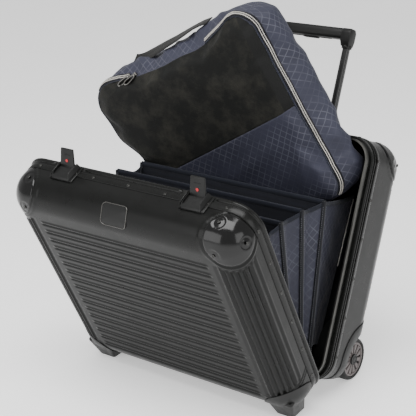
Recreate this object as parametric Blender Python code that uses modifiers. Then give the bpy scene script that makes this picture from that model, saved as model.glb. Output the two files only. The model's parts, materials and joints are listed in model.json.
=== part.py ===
"""Pilot rolling flight case, standing open: a rear shell on two wheels with a telescopic handle,
a hinged front shell on two feet, a fanned document file between them and a removable soft pouch.

Lengths are metres. Pieces are modelled in the case's own axes, as if it were closed and upright:
X to the right, Y from the front to the back with the seam between the shells at Y = 0, and Z up
from the bottom of the shells. Two empties then lean the rear shell back and open the front shell.
"""

import math

import bmesh
import bpy
from mathutils import Matrix, Vector

# Where the case stands, and how far it leans and opens.
CASE_LOCATION = (0.0149, -0.0247, 0.0377)
REAR_LEAN = math.radians(20.0)
LID_OPEN = math.radians(48.54)

# The two shells.
HALF_WIDTH = 0.2145
HEIGHT = 0.384
FRONT_DEPTH = 0.0735
REAR_DEPTH = 0.112
CORNER_RADIUS = 0.040
CORNER_STEPS = 4
SHELL_WALL = 0.0016
LINING_WALL = 0.0015
LINING_BACK = 0.0850
GAP = 0.0003

# The frames that meet at the seam.
FRAME_DEPTH = 0.022
FRAME_PROUD = 0.001
FRAME_CORNER = 0.038
REAR_FRAME_WALL = 0.0070
FRONT_FRAME_WALL = 0.0035
TONGUE_OUTER = 0.0040
TONGUE_INNER = 0.0065
TONGUE_DEPTH = 0.013

# The hinges below the seam.
HINGE_AXIS_Z = -0.0045
HINGE_X = 0.110
HINGE_LENGTH = 0.070
KNUCKLE_RADIUS = 0.0030
HINGE_PIN_RADIUS = 0.0014
HINGE_BORE_RADIUS = 0.0016
LEAF_WIDTH = 0.018
LEAF_THICKNESS = 0.0012

# The caps over the top corners.
CAP_LIFT = 0.0013
CAP_RADIUS = 0.050
CAP_CENTRE_INSET = 0.006
CAP_CENTRE_SETBACK = 0.008

# The wheels and their housings.
WHEEL_Y = 0.107
WHEEL_Z = 0.036
WHEEL_RADIUS = 0.035
WHEEL_OUTER_X = 0.2000
WHEEL_WIDTH = 0.024
RIM_RADIUS = 0.0282
AXLE_RADIUS = 0.004
ARCH_Y = 0.105
ARCH_RADIUS = 0.066
WELL_RADIUS = 0.050
HOUSING_INNER_X = 0.1605
HOUSING_WALL = 0.006
HOUSING_PROUD = 0.0006
TYRE_SHOULDER = 0.004
WHEEL_CAP_RADIUS = 0.0090
WHEEL_CAP_THICKNESS = 0.0034

# The feet, cut level with the ground when the case stands open.
FOOT_X = 0.180
FOOT_SPHERE_RADIUS = 0.052
FOOT_PROUD = 0.0016

# The latches on the front frame.
LATCH_X = 0.1215
LATCH_WIDTH = 0.034
LATCH_Y = (-0.0320, -0.0035)
LATCH_TOP = 0.3945
LATCH_NOTCH_FLOOR = 0.3895
LATCH_BORE_RADIUS = 0.0012
LATCH_PIN_RADIUS = 0.0010
STRIKE_HALF_WIDTH = 0.012
STRIKE_Y = (0.0035, 0.0180)
STRIKE_SLOT_HALF_WIDTH = 0.008
LEVER_WIDTH = 0.023
LEVER_LENGTH = 0.030
LEVER_PIVOT_Y = -0.0125
LEVER_PIVOT_Z = 0.3920
LEVER_RAISED = math.radians(118.0)

# The blank badge.
BADGE_HALF_WIDTH = 0.0210
BADGE_HALF_HEIGHT = 0.0155
BADGE_CORNER = 0.0055
BADGE_THICKNESS = 0.0022

# The telescopic handle.
POLE_X = 0.0715
POLE_Y = 0.0965
SLEEVE_RADIUS = 0.0088
STAGE_RADIUS = 0.0076
POLE_RADIUS = 0.0064
TUBE_WALL = 0.0009
SLEEVE_LOW = 0.029
SLEEVE_TOP = 0.3785
STAGE_LENGTH = 0.340
POLE_EXTENDED = 0.165
GRIP_HEIGHT = 0.028
GRIP_HALF_WIDTH = 0.083
GRIP_HALF_DEPTH = 0.0110
GRIP_ROUND = 0.0065
GRIP_BOTTOM = 0.5350
BUTTON_HALF_WIDTH = 0.0147
BUTTON_HALF_DEPTH = 0.0052
BEZEL_HALF_WIDTH = 0.0920
BEZEL_Y = (0.0800, 0.125)
BEZEL_PROUD = 0.0020

# The document file.
DIVIDER_HALF_WIDTH = 0.1790
DIVIDER_THICKNESS = 0.0026
DIVIDER_PIVOT_Z = 0.012
DIVIDERS = (
    ("divider_front", -0.040, 0.2570, math.radians(29.9)),
    ("divider_middle", -0.020, 0.2640, math.radians(21.5)),
    ("divider_rear", 0.000, 0.2720, math.radians(12.3)),
)
REAR_PANEL_Y = 0.050
REAR_PANEL_TOP = 0.297
REAR_PANEL_HALF_WIDTH = 0.157
REAR_PANEL_LEAN = math.radians(2.4)
GUSSET_THICKNESS = 0.0012
FILE_BASE_LOW = (-0.155, -0.044, 0.0078)
FILE_BASE_HIGH = (0.155, 0.0555, 0.0108)

# The pouch, drawn stowed and upright between the rear divider and the file's rear panel.
POUCH_SIZE = (0.330, 0.075, 0.345)
POUCH_STOWED_CENTRE = (0.0184, 0.028, 0.186)
POUCH_SWING_POINT = (-0.0460, -0.2428, 0.1615)
POUCH_SWING_AXIS = (0.81, -0.585, -0.03)
POUCH_SWING = math.radians(45.0)
STRAP_WIDTH = 0.022
STRAP_THICKNESS = 0.0022
STRAP_RISE = 0.030
STRAP_REACH = 0.085

CLEAR = 0.002


def clear_scene():
    for obj in list(bpy.data.objects):
        bpy.data.objects.remove(obj, do_unlink=True)


def new_collection(name):
    collection = bpy.data.collections.new(name)
    bpy.context.scene.collection.children.link(collection)
    return collection


clear_scene()
PARTS = new_collection("pilot_flight_case")
CUTTERS = new_collection("cutters")


def material(name, colour, roughness, metallic=0.0):
    made = bpy.data.materials.new(name)
    made.use_nodes = True
    shader = made.node_tree.nodes["Principled BSDF"]
    shader.inputs["Base Color"].default_value = (*colour, 1.0)
    shader.inputs["Roughness"].default_value = roughness
    shader.inputs["Metallic"].default_value = metallic
    return made


SHELL = material("shell_black", (0.035, 0.036, 0.036), 0.38, 0.6)
FRAME = material("frame_black", (0.030, 0.031, 0.031), 0.30, 0.8)
POLISHED = material("polished_black", (0.012, 0.012, 0.012), 0.08, 0.9)
MOULDED = material("moulded_black", (0.030, 0.030, 0.029), 0.55)
LINING = material("lining_black", (0.008, 0.008, 0.009), 0.95)
STEEL = material("steel", (0.30, 0.30, 0.31), 0.30, 1.0)
TYRE = material("tyre_rubber", (0.028, 0.028, 0.028), 0.70)
RIM = material("rim_grey", (0.27, 0.25, 0.25), 0.42, 0.3)
POLE = material("pole_black", (0.030, 0.030, 0.031), 0.28, 0.9)
NAVY = material("navy_fabric", (0.016, 0.020, 0.034), 0.90)
LATTICE = material("blue_grey_fabric", (0.075, 0.078, 0.098), 0.85)
MESH_BLACK = material("black_webbing", (0.015, 0.015, 0.015), 0.85)
ZIP = material("zip_nickel", (0.60, 0.58, 0.55), 0.30, 1.0)


def new_empty(name, location, parent=None):
    empty = bpy.data.objects.new(name, None)
    PARTS.objects.link(empty)
    empty.location = location
    empty.parent = parent
    return empty


CASE = new_empty("case_axes", CASE_LOCATION)
CASE.rotation_euler = (-REAR_LEAN, 0.0, 0.0)
LID = new_empty("lid_axis", (0.0, 0.0, HINGE_AXIS_Z), CASE)
LID.rotation_euler = (LID_OPEN, 0.0, 0.0)


def smooth(mesh):
    mesh.shade_smooth()
    mesh.set_sharp_from_angle(angle=math.radians(35.0))


def add_part(name, mesh, look, parent=CASE, location=(0.0, 0.0, 0.0)):
    """Links a mesh as a named part. Parts of the lid hang on its axis, in the case's axes."""
    obj = bpy.data.objects.new(name, mesh)
    PARTS.objects.link(obj)
    mesh.materials.append(look)
    smooth(mesh)
    obj.parent = parent
    obj.location = location
    if parent is LID:
        obj.location = Vector(location) - Vector((0.0, 0.0, HINGE_AXIS_Z))
    return obj


def hide_cutter(obj):
    obj.hide_render = True
    obj.display_type = "WIRE"
    return obj


def add_cutter(mesh, like):
    """A helper in the same axes as the part that it shapes."""
    obj = bpy.data.objects.new("cutter", mesh)
    CUTTERS.objects.link(obj)
    obj.parent = like.parent
    obj.location = like.location
    return hide_cutter(obj)


def combine(obj, mesh, operation, bevel=None):
    """Adds an EXACT Boolean with a mesh given in the part's own axes."""
    cutter = add_cutter(mesh, obj)
    if bevel:
        add_bevel(cutter, *bevel)
    modifier = obj.modifiers.new(operation.lower(), "BOOLEAN")
    modifier.operation = operation
    modifier.object = cutter
    return cutter


def add_bevel(obj, width, segments=2, limit=30.0):
    modifier = obj.modifiers.new("rounded_edges", "BEVEL")
    modifier.width = width
    modifier.segments = segments
    modifier.limit_method = "ANGLE"
    modifier.angle_limit = math.radians(limit)
    modifier.use_clamp_overlap = False
    return modifier


def add_wall(obj, thickness):
    modifier = obj.modifiers.new("wall", "SOLIDIFY")
    modifier.thickness = thickness
    modifier.offset = -1.0
    modifier.use_even_offset = True
    return modifier


def box_mesh(low, high, open_side=None):
    """A box from corner to corner; open_side is the outward normal of a face to leave out."""
    mesh = bpy.data.meshes.new("box")
    work = bmesh.new()
    bmesh.ops.create_cube(work, size=1.0)
    low = Vector(low)
    size = Vector(high) - low
    for vert in work.verts:
        vert.co = low + Vector((vert.co[i] + 0.5) * size[i] for i in range(3))
    work.normal_update()
    if open_side:
        gone = [face for face in work.faces if face.normal.dot(Vector(open_side)) > 0.9]
        bmesh.ops.delete(work, geom=gone, context="FACES_ONLY")
    work.to_mesh(mesh)
    work.free()
    return mesh


def cylinder_mesh(centre, radius, length, axis="X", segments=48, radius_end=None):
    """A cylinder, or a cone, centred on a point, along X, Y or Z."""
    mesh = bpy.data.meshes.new("cylinder")
    turn = {
        "X": Matrix.Rotation(math.radians(90.0), 4, "Y"),
        "Y": Matrix.Rotation(math.radians(-90.0), 4, "X"),
        "Z": Matrix.Identity(4),
    }[axis]
    work = bmesh.new()
    bmesh.ops.create_cone(
        work,
        cap_ends=True,
        segments=segments,
        radius1=radius,
        radius2=radius if radius_end is None else radius_end,
        depth=length,
        matrix=Matrix.Translation(centre) @ turn,
    )
    work.to_mesh(mesh)
    work.free()
    return mesh


def sphere_mesh(centre, radius, segments=32):
    mesh = bpy.data.meshes.new("sphere")
    work = bmesh.new()
    bmesh.ops.create_uvsphere(
        work,
        u_segments=segments,
        v_segments=segments // 2,
        radius=radius,
        matrix=Matrix.Translation(centre),
    )
    work.to_mesh(mesh)
    work.free()
    return mesh


def rounded_outline(half_width, low, high, radius, steps=6):
    """Points round a rectangle with round corners, anticlockwise."""
    points = []
    corners = (
        (half_width - radius, high - radius, 0.0),
        (-half_width + radius, high - radius, 90.0),
        (-half_width + radius, low + radius, 180.0),
        (half_width - radius, low + radius, 270.0),
    )
    for x, y, start in corners:
        for step in range(steps + 1):
            angle = math.radians(start + 90.0 * step / steps)
            points.append((x + radius * math.cos(angle), y + radius * math.sin(angle)))
    return points


def flat_mesh(loops, thickness):
    """A flat outline with its holes, thickened evenly about the XY plane."""
    curve = bpy.data.curves.new("outline", "CURVE")
    curve.dimensions = "2D"
    curve.fill_mode = "BOTH"
    curve.extrude = thickness / 2.0
    for points in loops:
        spline = curve.splines.new("POLY")
        spline.points.add(len(points) - 1)
        for point, (x, y) in zip(spline.points, points):
            point.co = (x, y, 0.0, 1.0)
        spline.use_cyclic_u = True
    helper = bpy.data.objects.new("outline", curve)
    bpy.context.scene.collection.objects.link(helper)
    graph = bpy.context.evaluated_depsgraph_get()
    mesh = bpy.data.meshes.new_from_object(helper.evaluated_get(graph))
    bpy.data.objects.remove(helper, do_unlink=True)
    work = bmesh.new()
    work.from_mesh(mesh)
    bmesh.ops.remove_doubles(work, verts=work.verts, dist=1e-6)
    bmesh.ops.recalc_face_normals(work, faces=work.faces)
    work.to_mesh(mesh)
    work.free()
    mesh.materials.clear()
    return mesh


def upright(mesh, y_low, y_high):
    """Stands a flat outline up in the XZ plane between two depths."""
    mesh.transform(Matrix.Rotation(math.radians(90.0), 4, "X"))
    mesh.transform(Matrix.Translation((0.0, (y_low + y_high) / 2.0, 0.0)))
    return mesh


def ring_mesh(outer_inset, inner_inset, y_low, y_high):
    """A frame-shaped ring round the seam, inset from the shells' outer size."""
    loops = []
    for inset in (outer_inset, inner_inset):
        loops.append(
            rounded_outline(
                HALF_WIDTH - inset,
                inset,
                HEIGHT - inset,
                FRAME_CORNER - inset,
            )
        )
    return upright(flat_mesh(loops, y_high - y_low), y_low, y_high)


def turned_mesh(profile, centre, axis_turn, steps=32):
    """A profile of (radius, along) points turned about Z, then laid along an axis."""
    mesh = bpy.data.meshes.new("profile")
    work = bmesh.new()
    verts = [work.verts.new((radius, 0.0, along)) for radius, along in profile]
    for first, second in zip(verts, verts[1:] + verts[:1]):
        work.edges.new((first, second))
    work.to_mesh(mesh)
    work.free()
    helper = bpy.data.objects.new("profile", mesh)
    bpy.context.scene.collection.objects.link(helper)
    screw = helper.modifiers.new("turned", "SCREW")
    screw.steps = steps
    screw.render_steps = steps
    screw.use_merge_vertices = True
    screw.merge_threshold = 0.00001
    screw.use_normal_calculate = True
    graph = bpy.context.evaluated_depsgraph_get()
    made = bpy.data.meshes.new_from_object(helper.evaluated_get(graph))
    bpy.data.objects.remove(helper, do_unlink=True)
    made.transform(Matrix.Translation(centre) @ axis_turn)
    work = bmesh.new()
    work.from_mesh(made)
    bmesh.ops.recalc_face_normals(work, faces=work.faces)
    work.to_mesh(made)
    work.free()
    return made


def tube_mesh(centre_xy, outer, inner, low, high, segments=24):
    """An open tube that stands along Z."""
    x, y = centre_xy
    loops = []
    for radius in (outer, inner):
        ring = []
        for step in range(segments):
            angle = 2.0 * math.pi * step / segments
            ring.append((x + radius * math.cos(angle), y + radius * math.sin(angle)))
        loops.append(ring)
    mesh = flat_mesh(loops, high - low)
    mesh.transform(Matrix.Translation((0.0, 0.0, (low + high) / 2.0)))
    return mesh


def sides():
    return (("left", -1.0), ("right", 1.0))


def across(side, near, far):
    """The X range between two distances from the middle, on one side."""
    return sorted((side * near, side * far))


def shell_box(y_low, y_high, grow, open_side=None):
    """The outer form of a shell between two depths, grown outwards."""
    return box_mesh(
        (-HALF_WIDTH - grow, y_low, -grow),
        (HALF_WIDTH + grow, y_high, HEIGHT + grow),
        open_side,
    )


def shell_solid(direction, grow, past_seam=0.10):
    """The front (-1) or rear (1) outer form made solid, carried on past the seam."""
    depth = (FRONT_DEPTH if direction < 0.0 else REAR_DEPTH) + grow
    low, high = sorted((-direction * past_seam, direction * depth))
    return shell_box(low, high, grow)


def make_shell(name, y_seam, y_outer, inset, wall, look, parent):
    """An open rounded box, its mouth at the seam side."""
    opens = (0.0, math.copysign(1.0, y_seam - y_outer), 0.0)
    low, high = sorted((y_seam, y_outer))
    obj = add_part(name, shell_box(low, high, -inset, opens), look, parent)
    add_bevel(obj, CORNER_RADIUS - inset, CORNER_STEPS)
    add_wall(obj, wall)
    return obj


def cut_wheel_arches(obj, radius, inner_x):
    for _, side in sides():
        low, high = across(side, inner_x, HALF_WIDTH + 0.02)
        centre = ((low + high) / 2.0, ARCH_Y, WHEEL_Z)
        combine(obj, cylinder_mesh(centre, radius, high - low, "X", 40), "DIFFERENCE")


def cut_pole_holes(obj, radius, low, high):
    for _, side in sides():
        centre = (side * POLE_X, POLE_Y, (low + high) / 2.0)
        combine(obj, cylinder_mesh(centre, radius, high - low, "Z", 24), "DIFFERENCE")


def make_rear_shell():
    rim = FRAME_DEPTH + GAP
    shell = make_shell("rear_shell", rim, REAR_DEPTH, 0.0, SHELL_WALL, SHELL, CASE)
    cut_wheel_arches(shell, ARCH_RADIUS + GAP, HOUSING_INNER_X - GAP)
    cut_pole_holes(shell, SLEEVE_RADIUS + GAP, 0.30, 0.45)
    inset = SHELL_WALL + GAP
    lining = make_shell("rear_lining", rim, LINING_BACK, inset, LINING_WALL, LINING, CASE)
    cut_wheel_arches(lining, ARCH_RADIUS + 0.0015, HOUSING_INNER_X - 0.0015)


def make_front_shell():
    rim = -FRAME_DEPTH - GAP
    make_shell("front_shell", rim, -FRONT_DEPTH, 0.0, SHELL_WALL, SHELL, LID)
    inset = SHELL_WALL + GAP
    back = -FRONT_DEPTH + inset
    make_shell("front_lining", rim, back, inset, LINING_WALL, LINING, LID)


def make_frames():
    rear = add_part(
        "rear_frame", ring_mesh(-FRAME_PROUD, REAR_FRAME_WALL, GAP, FRAME_DEPTH), FRAME
    )
    tongue = ring_mesh(TONGUE_OUTER, TONGUE_INNER, -TONGUE_DEPTH, 0.002)
    combine(rear, tongue, "UNION")
    add_part(
        "front_frame",
        ring_mesh(-FRAME_PROUD, FRONT_FRAME_WALL, -FRAME_DEPTH, -GAP),
        FRAME,
        LID,
    )


def knuckle_mesh(x_low, x_high):
    centre = ((x_low + x_high) / 2.0, 0.0, HINGE_AXIS_Z)
    return cylinder_mesh(centre, KNUCKLE_RADIUS, x_high - x_low, "X", 20)


def make_hinge_leaf(name, x, side_y, spans, gaps, parent):
    """A leaf screwed under one frame. Its knuckles and the other leaf's share one pin."""
    half = HINGE_LENGTH / 2.0
    top = -FRAME_PROUD - GAP
    y_low, y_high = sorted((0.0, side_y * LEAF_WIDTH))
    plate = box_mesh((x - half, y_low, top - LEAF_THICKNESS), (x + half, y_high, top))
    leaf = add_part(name, plate, STEEL, parent)
    for low, high in gaps:
        reach = KNUCKLE_RADIUS + GAP
        notch = box_mesh((x + low, -reach, -0.01), (x + high, reach, 0.01))
        combine(leaf, notch, "DIFFERENCE")
    for low, high in spans:
        combine(leaf, knuckle_mesh(x + low, x + high), "UNION")
    bore = cylinder_mesh((x, 0.0, HINGE_AXIS_Z), HINGE_BORE_RADIUS, 0.2, "X", 16)
    combine(leaf, bore, "DIFFERENCE")
    above = box_mesh((x - 0.1, -0.03, top), (x + 0.1, 0.03, 0.01))
    combine(leaf, above, "DIFFERENCE")


def make_hinges():
    end = HINGE_LENGTH / 2.0
    inner = HINGE_LENGTH / 6.0
    for side_name, side in sides():
        x = side * HINGE_X
        middle = [(-inner + GAP, inner - GAP)]
        outer = [(-end, -inner - GAP), (inner + GAP, end)]
        middle_gap = [(-inner, inner)]
        outer_gaps = [(-end - 0.001, -inner), (inner, end + 0.001)]
        make_hinge_leaf(f"hinge_leaf_rear_{side_name}", x, 1.0, outer, middle_gap, CASE)
        make_hinge_leaf(f"hinge_leaf_front_{side_name}", x, -1.0, middle, outer_gaps, LID)
        pin = cylinder_mesh(
            (x, 0.0, HINGE_AXIS_Z), HINGE_PIN_RADIUS, HINGE_LENGTH - 0.001, "X", 16
        )
        add_part(f"hinge_pin_{side_name}", pin, STEEL)


def make_corner_caps():
    """Polished caps over the two top corners of each shell."""
    for side_name, side in sides():
        for prefix, parent, outer, direction in (
            ("front", LID, -FRONT_DEPTH, -1.0),
            ("rear", CASE, REAR_DEPTH, 1.0),
        ):
            rim = direction * (FRAME_DEPTH + GAP)
            low, high = sorted((rim, outer + direction * CAP_LIFT))
            form = shell_box(low, high, CAP_LIFT, (0.0, -direction, 0.0))
            cap = add_part(f"{prefix}_corner_cap_{side_name}", form, POLISHED, parent)
            add_bevel(cap, CORNER_RADIUS + CAP_LIFT, CORNER_STEPS)
            add_wall(cap, CAP_LIFT - GAP)
            centre = (
                side * (HALF_WIDTH - CAP_CENTRE_INSET),
                outer - direction * CAP_CENTRE_SETBACK,
                HEIGHT - CAP_CENTRE_INSET,
            )
            combine(cap, sphere_mesh(centre, CAP_RADIUS, 28), "INTERSECT")


def make_wheel_housings():
    for side_name, side in sides():
        low, high = across(side, HOUSING_INNER_X, HALF_WIDTH + 0.01)
        form = shell_solid(1.0, HOUSING_PROUD)
        housing = add_part(f"wheel_housing_{side_name}", form, MOULDED)
        add_bevel(housing, CORNER_RADIUS, CORNER_STEPS)
        arch = cylinder_mesh(
            ((low + high) / 2.0, ARCH_Y, WHEEL_Z), ARCH_RADIUS, high - low, "X", 40
        )
        combine(housing, arch, "INTERSECT")
        low, high = across(side, HOUSING_INNER_X + HOUSING_WALL, HALF_WIDTH + 0.02)
        well = cylinder_mesh(
            ((low + high) / 2.0, WHEEL_Y, WHEEL_Z), WELL_RADIUS, high - low, "X", 48
        )
        combine(housing, well, "DIFFERENCE")


def make_wheels():
    inner = WHEEL_OUTER_X - WHEEL_WIDTH
    tyre_inner = RIM_RADIUS + GAP
    shoulder = TYRE_SHOULDER
    tyre_profile = (
        (tyre_inner, -WHEEL_WIDTH / 2.0),
        (WHEEL_RADIUS - shoulder * 0.5, -WHEEL_WIDTH / 2.0),
        (WHEEL_RADIUS - shoulder * 0.15, -WHEEL_WIDTH / 2.0 + shoulder * 0.4),
        (WHEEL_RADIUS, -WHEEL_WIDTH / 2.0 + shoulder),
        (WHEEL_RADIUS, WHEEL_WIDTH / 2.0 - shoulder),
        (WHEEL_RADIUS - shoulder * 0.15, WHEEL_WIDTH / 2.0 - shoulder * 0.4),
        (WHEEL_RADIUS - shoulder * 0.5, WHEEL_WIDTH / 2.0),
        (tyre_inner, WHEEL_WIDTH / 2.0),
    )
    bore = AXLE_RADIUS + 0.0002
    rim_profile = (
        (bore, -WHEEL_WIDTH / 2.0 + 0.001),
        (RIM_RADIUS, -WHEEL_WIDTH / 2.0 + 0.001),
        (RIM_RADIUS, WHEEL_WIDTH / 2.0 - 0.0005),
        (RIM_RADIUS - 0.003, WHEEL_WIDTH / 2.0 - 0.0005),
        (RIM_RADIUS - 0.004, WHEEL_WIDTH / 2.0 - 0.003),
        (0.011, WHEEL_WIDTH / 2.0 - 0.002),
        (bore, WHEEL_WIDTH / 2.0 - 0.002),
    )
    for side_name, side in sides():
        hub = new_empty(f"wheel_axis_{side_name}", (0.0, WHEEL_Y, WHEEL_Z), CASE)
        turn = Matrix.Rotation(side * math.radians(90.0), 4, "Y")
        centre = (side * (inner + WHEEL_WIDTH / 2.0), 0.0, 0.0)
        add_part(
            f"tyre_{side_name}", turned_mesh(tyre_profile, centre, turn, 40), TYRE, hub
        )
        add_part(
            f"wheel_rim_{side_name}", turned_mesh(rim_profile, centre, turn), RIM, hub
        )
        cap_x = side * (WHEEL_OUTER_X + GAP)
        cap = cylinder_mesh((cap_x, 0.0, 0.0), WHEEL_CAP_RADIUS, WHEEL_CAP_THICKNESS, "X", 20)
        cap_part = add_part(f"wheel_cap_{side_name}", cap, MOULDED, hub)
        add_bevel(cap_part, 0.0008)
        low, high = across(side, HOUSING_INNER_X + HOUSING_WALL + GAP, WHEEL_OUTER_X - 0.0020)
        axle_centre = ((low + high) / 2.0, WHEEL_Y, WHEEL_Z)
        axle = cylinder_mesh(axle_centre, AXLE_RADIUS, high - low, "X", 24)
        add_part(f"wheel_axle_{side_name}", axle, STEEL)


def ground_cutter(obj):
    """Everything below the ground, in the open lid's axes."""
    tilt = LID_OPEN - REAR_LEAN
    block = box_mesh((-0.4, -0.4, -0.3), (0.4, 0.4, 0.0))
    lift = CASE_LOCATION[2] + HINGE_AXIS_Z * math.cos(REAR_LEAN)
    to_lid = Matrix.Rotation(-tilt, 4, "X") @ Matrix.Translation((0.0, 0.0, -lift))
    block.transform(Matrix.Translation((0.0, 0.0, HINGE_AXIS_Z)) @ to_lid)
    combine(obj, block, "DIFFERENCE")


def tapered_block(centre_x, top, bottom):
    """A peg whose cross-section changes from its top to its bottom: (z, half x, y low, y high)."""
    mesh = box_mesh((-0.5, -0.5, -0.5), (0.5, 0.5, 0.5))
    for vert in mesh.vertices:
        z, half, y_low, y_high = top if vert.co.z > 0.0 else bottom
        x = centre_x + math.copysign(half, vert.co.x)
        vert.co = (x, y_high if vert.co.y > 0.0 else y_low, z)
    return mesh


def make_feet():
    for side_name, side in sides():
        form = shell_solid(-1.0, FOOT_PROUD)
        foot = add_part(f"foot_{side_name}", form, MOULDED, LID)
        add_bevel(foot, CORNER_RADIUS + FOOT_PROUD, CORNER_STEPS)
        centre = (side * (HALF_WIDTH - 0.013), -FRONT_DEPTH + 0.016, 0.003)
        combine(foot, sphere_mesh(centre, FOOT_SPHERE_RADIUS, 32), "INTERSECT")
        peg = tapered_block(
            side * FOOT_X,
            (0.030, 0.026, -FRONT_DEPTH + 0.004, -FRAME_DEPTH - 0.003),
            (-0.034, 0.0085, -FRONT_DEPTH + 0.0105, -0.0295),
        )
        combine(foot, peg, "UNION", (0.004, 2))
        inner = shell_solid(-1.0, GAP, 0.14)
        combine(foot, inner, "DIFFERENCE", (CORNER_RADIUS + GAP, CORNER_STEPS))
        frame_side = box_mesh((-0.3, -FRAME_DEPTH - 0.0012, -0.1), (0.3, 0.05, 0.2))
        combine(foot, frame_side, "DIFFERENCE")
        ground_cutter(foot)


def make_latches():
    for side_name, side in sides():
        x = side * LATCH_X
        half = LATCH_WIDTH / 2.0
        base_z = HEIGHT + FRAME_PROUD + GAP
        block = box_mesh((x - half, LATCH_Y[0], base_z), (x + half, LATCH_Y[1], LATCH_TOP))
        body = add_part(f"latch_body_{side_name}", block, MOULDED, LID)
        add_bevel(body, 0.0022, 2)
        notch_half = LEVER_WIDTH / 2.0 + GAP
        notch = box_mesh((x - notch_half, -0.0400, LATCH_NOTCH_FLOOR), (x + notch_half, 0.0, 0.41))
        combine(body, notch, "DIFFERENCE")
        bore_centre = (x, LEVER_PIVOT_Y, LEVER_PIVOT_Z)
        bore = cylinder_mesh(bore_centre, LATCH_BORE_RADIUS, LATCH_WIDTH - 0.004, "X", 16)
        combine(body, bore, "DIFFERENCE")
        lever_axis = new_empty(
            f"lever_axis_{side_name}",
            (x, LEVER_PIVOT_Y, LEVER_PIVOT_Z - HINGE_AXIS_Z),
            LID,
        )
        lever_axis.rotation_euler = (-LEVER_RAISED, 0.0, 0.0)
        plate = box_mesh(
            (-LEVER_WIDTH / 2.0, -LEVER_LENGTH, -0.0004),
            (LEVER_WIDTH / 2.0, 0.0018, 0.0028),
        )
        lever = add_part(f"latch_lever_{side_name}", plate, MOULDED, lever_axis)
        add_bevel(lever, 0.0010, 2)
        pin = cylinder_mesh((0.0, 0.0, 0.0), LATCH_PIN_RADIUS, LATCH_WIDTH - 0.005, "X", 16)
        combine(lever, pin, "UNION")
        strike = box_mesh(
            (x - STRIKE_HALF_WIDTH, STRIKE_Y[0], base_z),
            (x + STRIKE_HALF_WIDTH, STRIKE_Y[1], LATCH_NOTCH_FLOOR),
        )
        strike_part = add_part(f"latch_strike_{side_name}", strike, MOULDED)
        add_bevel(strike_part, 0.0012, 2)
        slot = box_mesh(
            (x - STRIKE_SLOT_HALF_WIDTH, STRIKE_Y[0] + 0.0040, 0.3868),
            (x + STRIKE_SLOT_HALF_WIDTH, STRIKE_Y[1] - 0.0045, 0.40),
        )
        combine(strike_part, slot, "DIFFERENCE")


def make_badge():
    """A blank rounded plate on the front shell's top edge, its face at 45 degrees."""
    outline = rounded_outline(
        BADGE_HALF_WIDTH, -BADGE_HALF_HEIGHT, BADGE_HALF_HEIGHT, BADGE_CORNER, 4
    )
    plate = flat_mesh([outline], BADGE_THICKNESS)
    bend = CORNER_RADIUS + GAP
    plate.transform(Matrix.Translation((0.0, 0.0, bend + 0.0008)))
    plate.transform(Matrix.Rotation(math.radians(45.0), 4, "X"))
    middle = (0.0, -FRONT_DEPTH + CORNER_RADIUS, HEIGHT - CORNER_RADIUS)
    plate.transform(Matrix.Translation(middle))
    badge = add_part("badge", plate, POLISHED, LID)
    inner = shell_solid(-1.0, GAP)
    combine(badge, inner, "DIFFERENCE", (CORNER_RADIUS + GAP, CORNER_STEPS))


def make_handle():
    sleeve_inner = SLEEVE_RADIUS - TUBE_WALL
    stage_inner = STAGE_RADIUS - TUBE_WALL
    stage_low = SLEEVE_TOP - 0.0005 - STAGE_LENGTH
    pole_top = GRIP_BOTTOM - 0.0005
    pole_low = stage_low + 0.006 + POLE_EXTENDED
    for side_name, side in sides():
        at = (side * POLE_X, POLE_Y)
        sleeve = tube_mesh(at, SLEEVE_RADIUS, sleeve_inner, SLEEVE_LOW, SLEEVE_TOP)
        add_part(f"handle_sleeve_{side_name}", sleeve, STEEL)
        stage = tube_mesh(
            at, STAGE_RADIUS, stage_inner, stage_low, stage_low + STAGE_LENGTH, 20
        )
        add_part(f"handle_stage_{side_name}", stage, POLE)
        pole = tube_mesh(at, POLE_RADIUS, POLE_RADIUS - 0.001, pole_low, pole_top, 20)
        add_part(f"handle_pole_{side_name}", pole, POLE)
    bridge = box_mesh(
        (-POLE_X - 0.009, POLE_Y - 0.0085, SLEEVE_LOW - 0.0045),
        (POLE_X + 0.009, POLE_Y + 0.0085, SLEEVE_LOW - GAP),
    )
    add_part("handle_sleeve_bridge", bridge, STEEL)
    low, high = GRIP_BOTTOM, GRIP_BOTTOM + GRIP_HEIGHT
    grip = add_part(
        "handle_grip",
        box_mesh(
            (-GRIP_HALF_WIDTH, POLE_Y - GRIP_HALF_DEPTH, low),
            (GRIP_HALF_WIDTH, POLE_Y + GRIP_HALF_DEPTH, high),
        ),
        MOULDED,
    )
    add_bevel(grip, GRIP_ROUND, 3)
    recess = box_mesh(
        (-BUTTON_HALF_WIDTH - GAP, POLE_Y - BUTTON_HALF_DEPTH - GAP, low - 0.01),
        (BUTTON_HALF_WIDTH + GAP, POLE_Y + BUTTON_HALF_DEPTH + GAP, low + 0.008),
    )
    combine(grip, recess, "DIFFERENCE")
    button = box_mesh(
        (-BUTTON_HALF_WIDTH, POLE_Y - BUTTON_HALF_DEPTH, low - 0.0022),
        (BUTTON_HALF_WIDTH, POLE_Y + BUTTON_HALF_DEPTH, low + 0.0048),
    )
    button_part = add_part("handle_button", button, MOULDED)
    add_bevel(button_part, 0.0012, 2)


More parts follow.
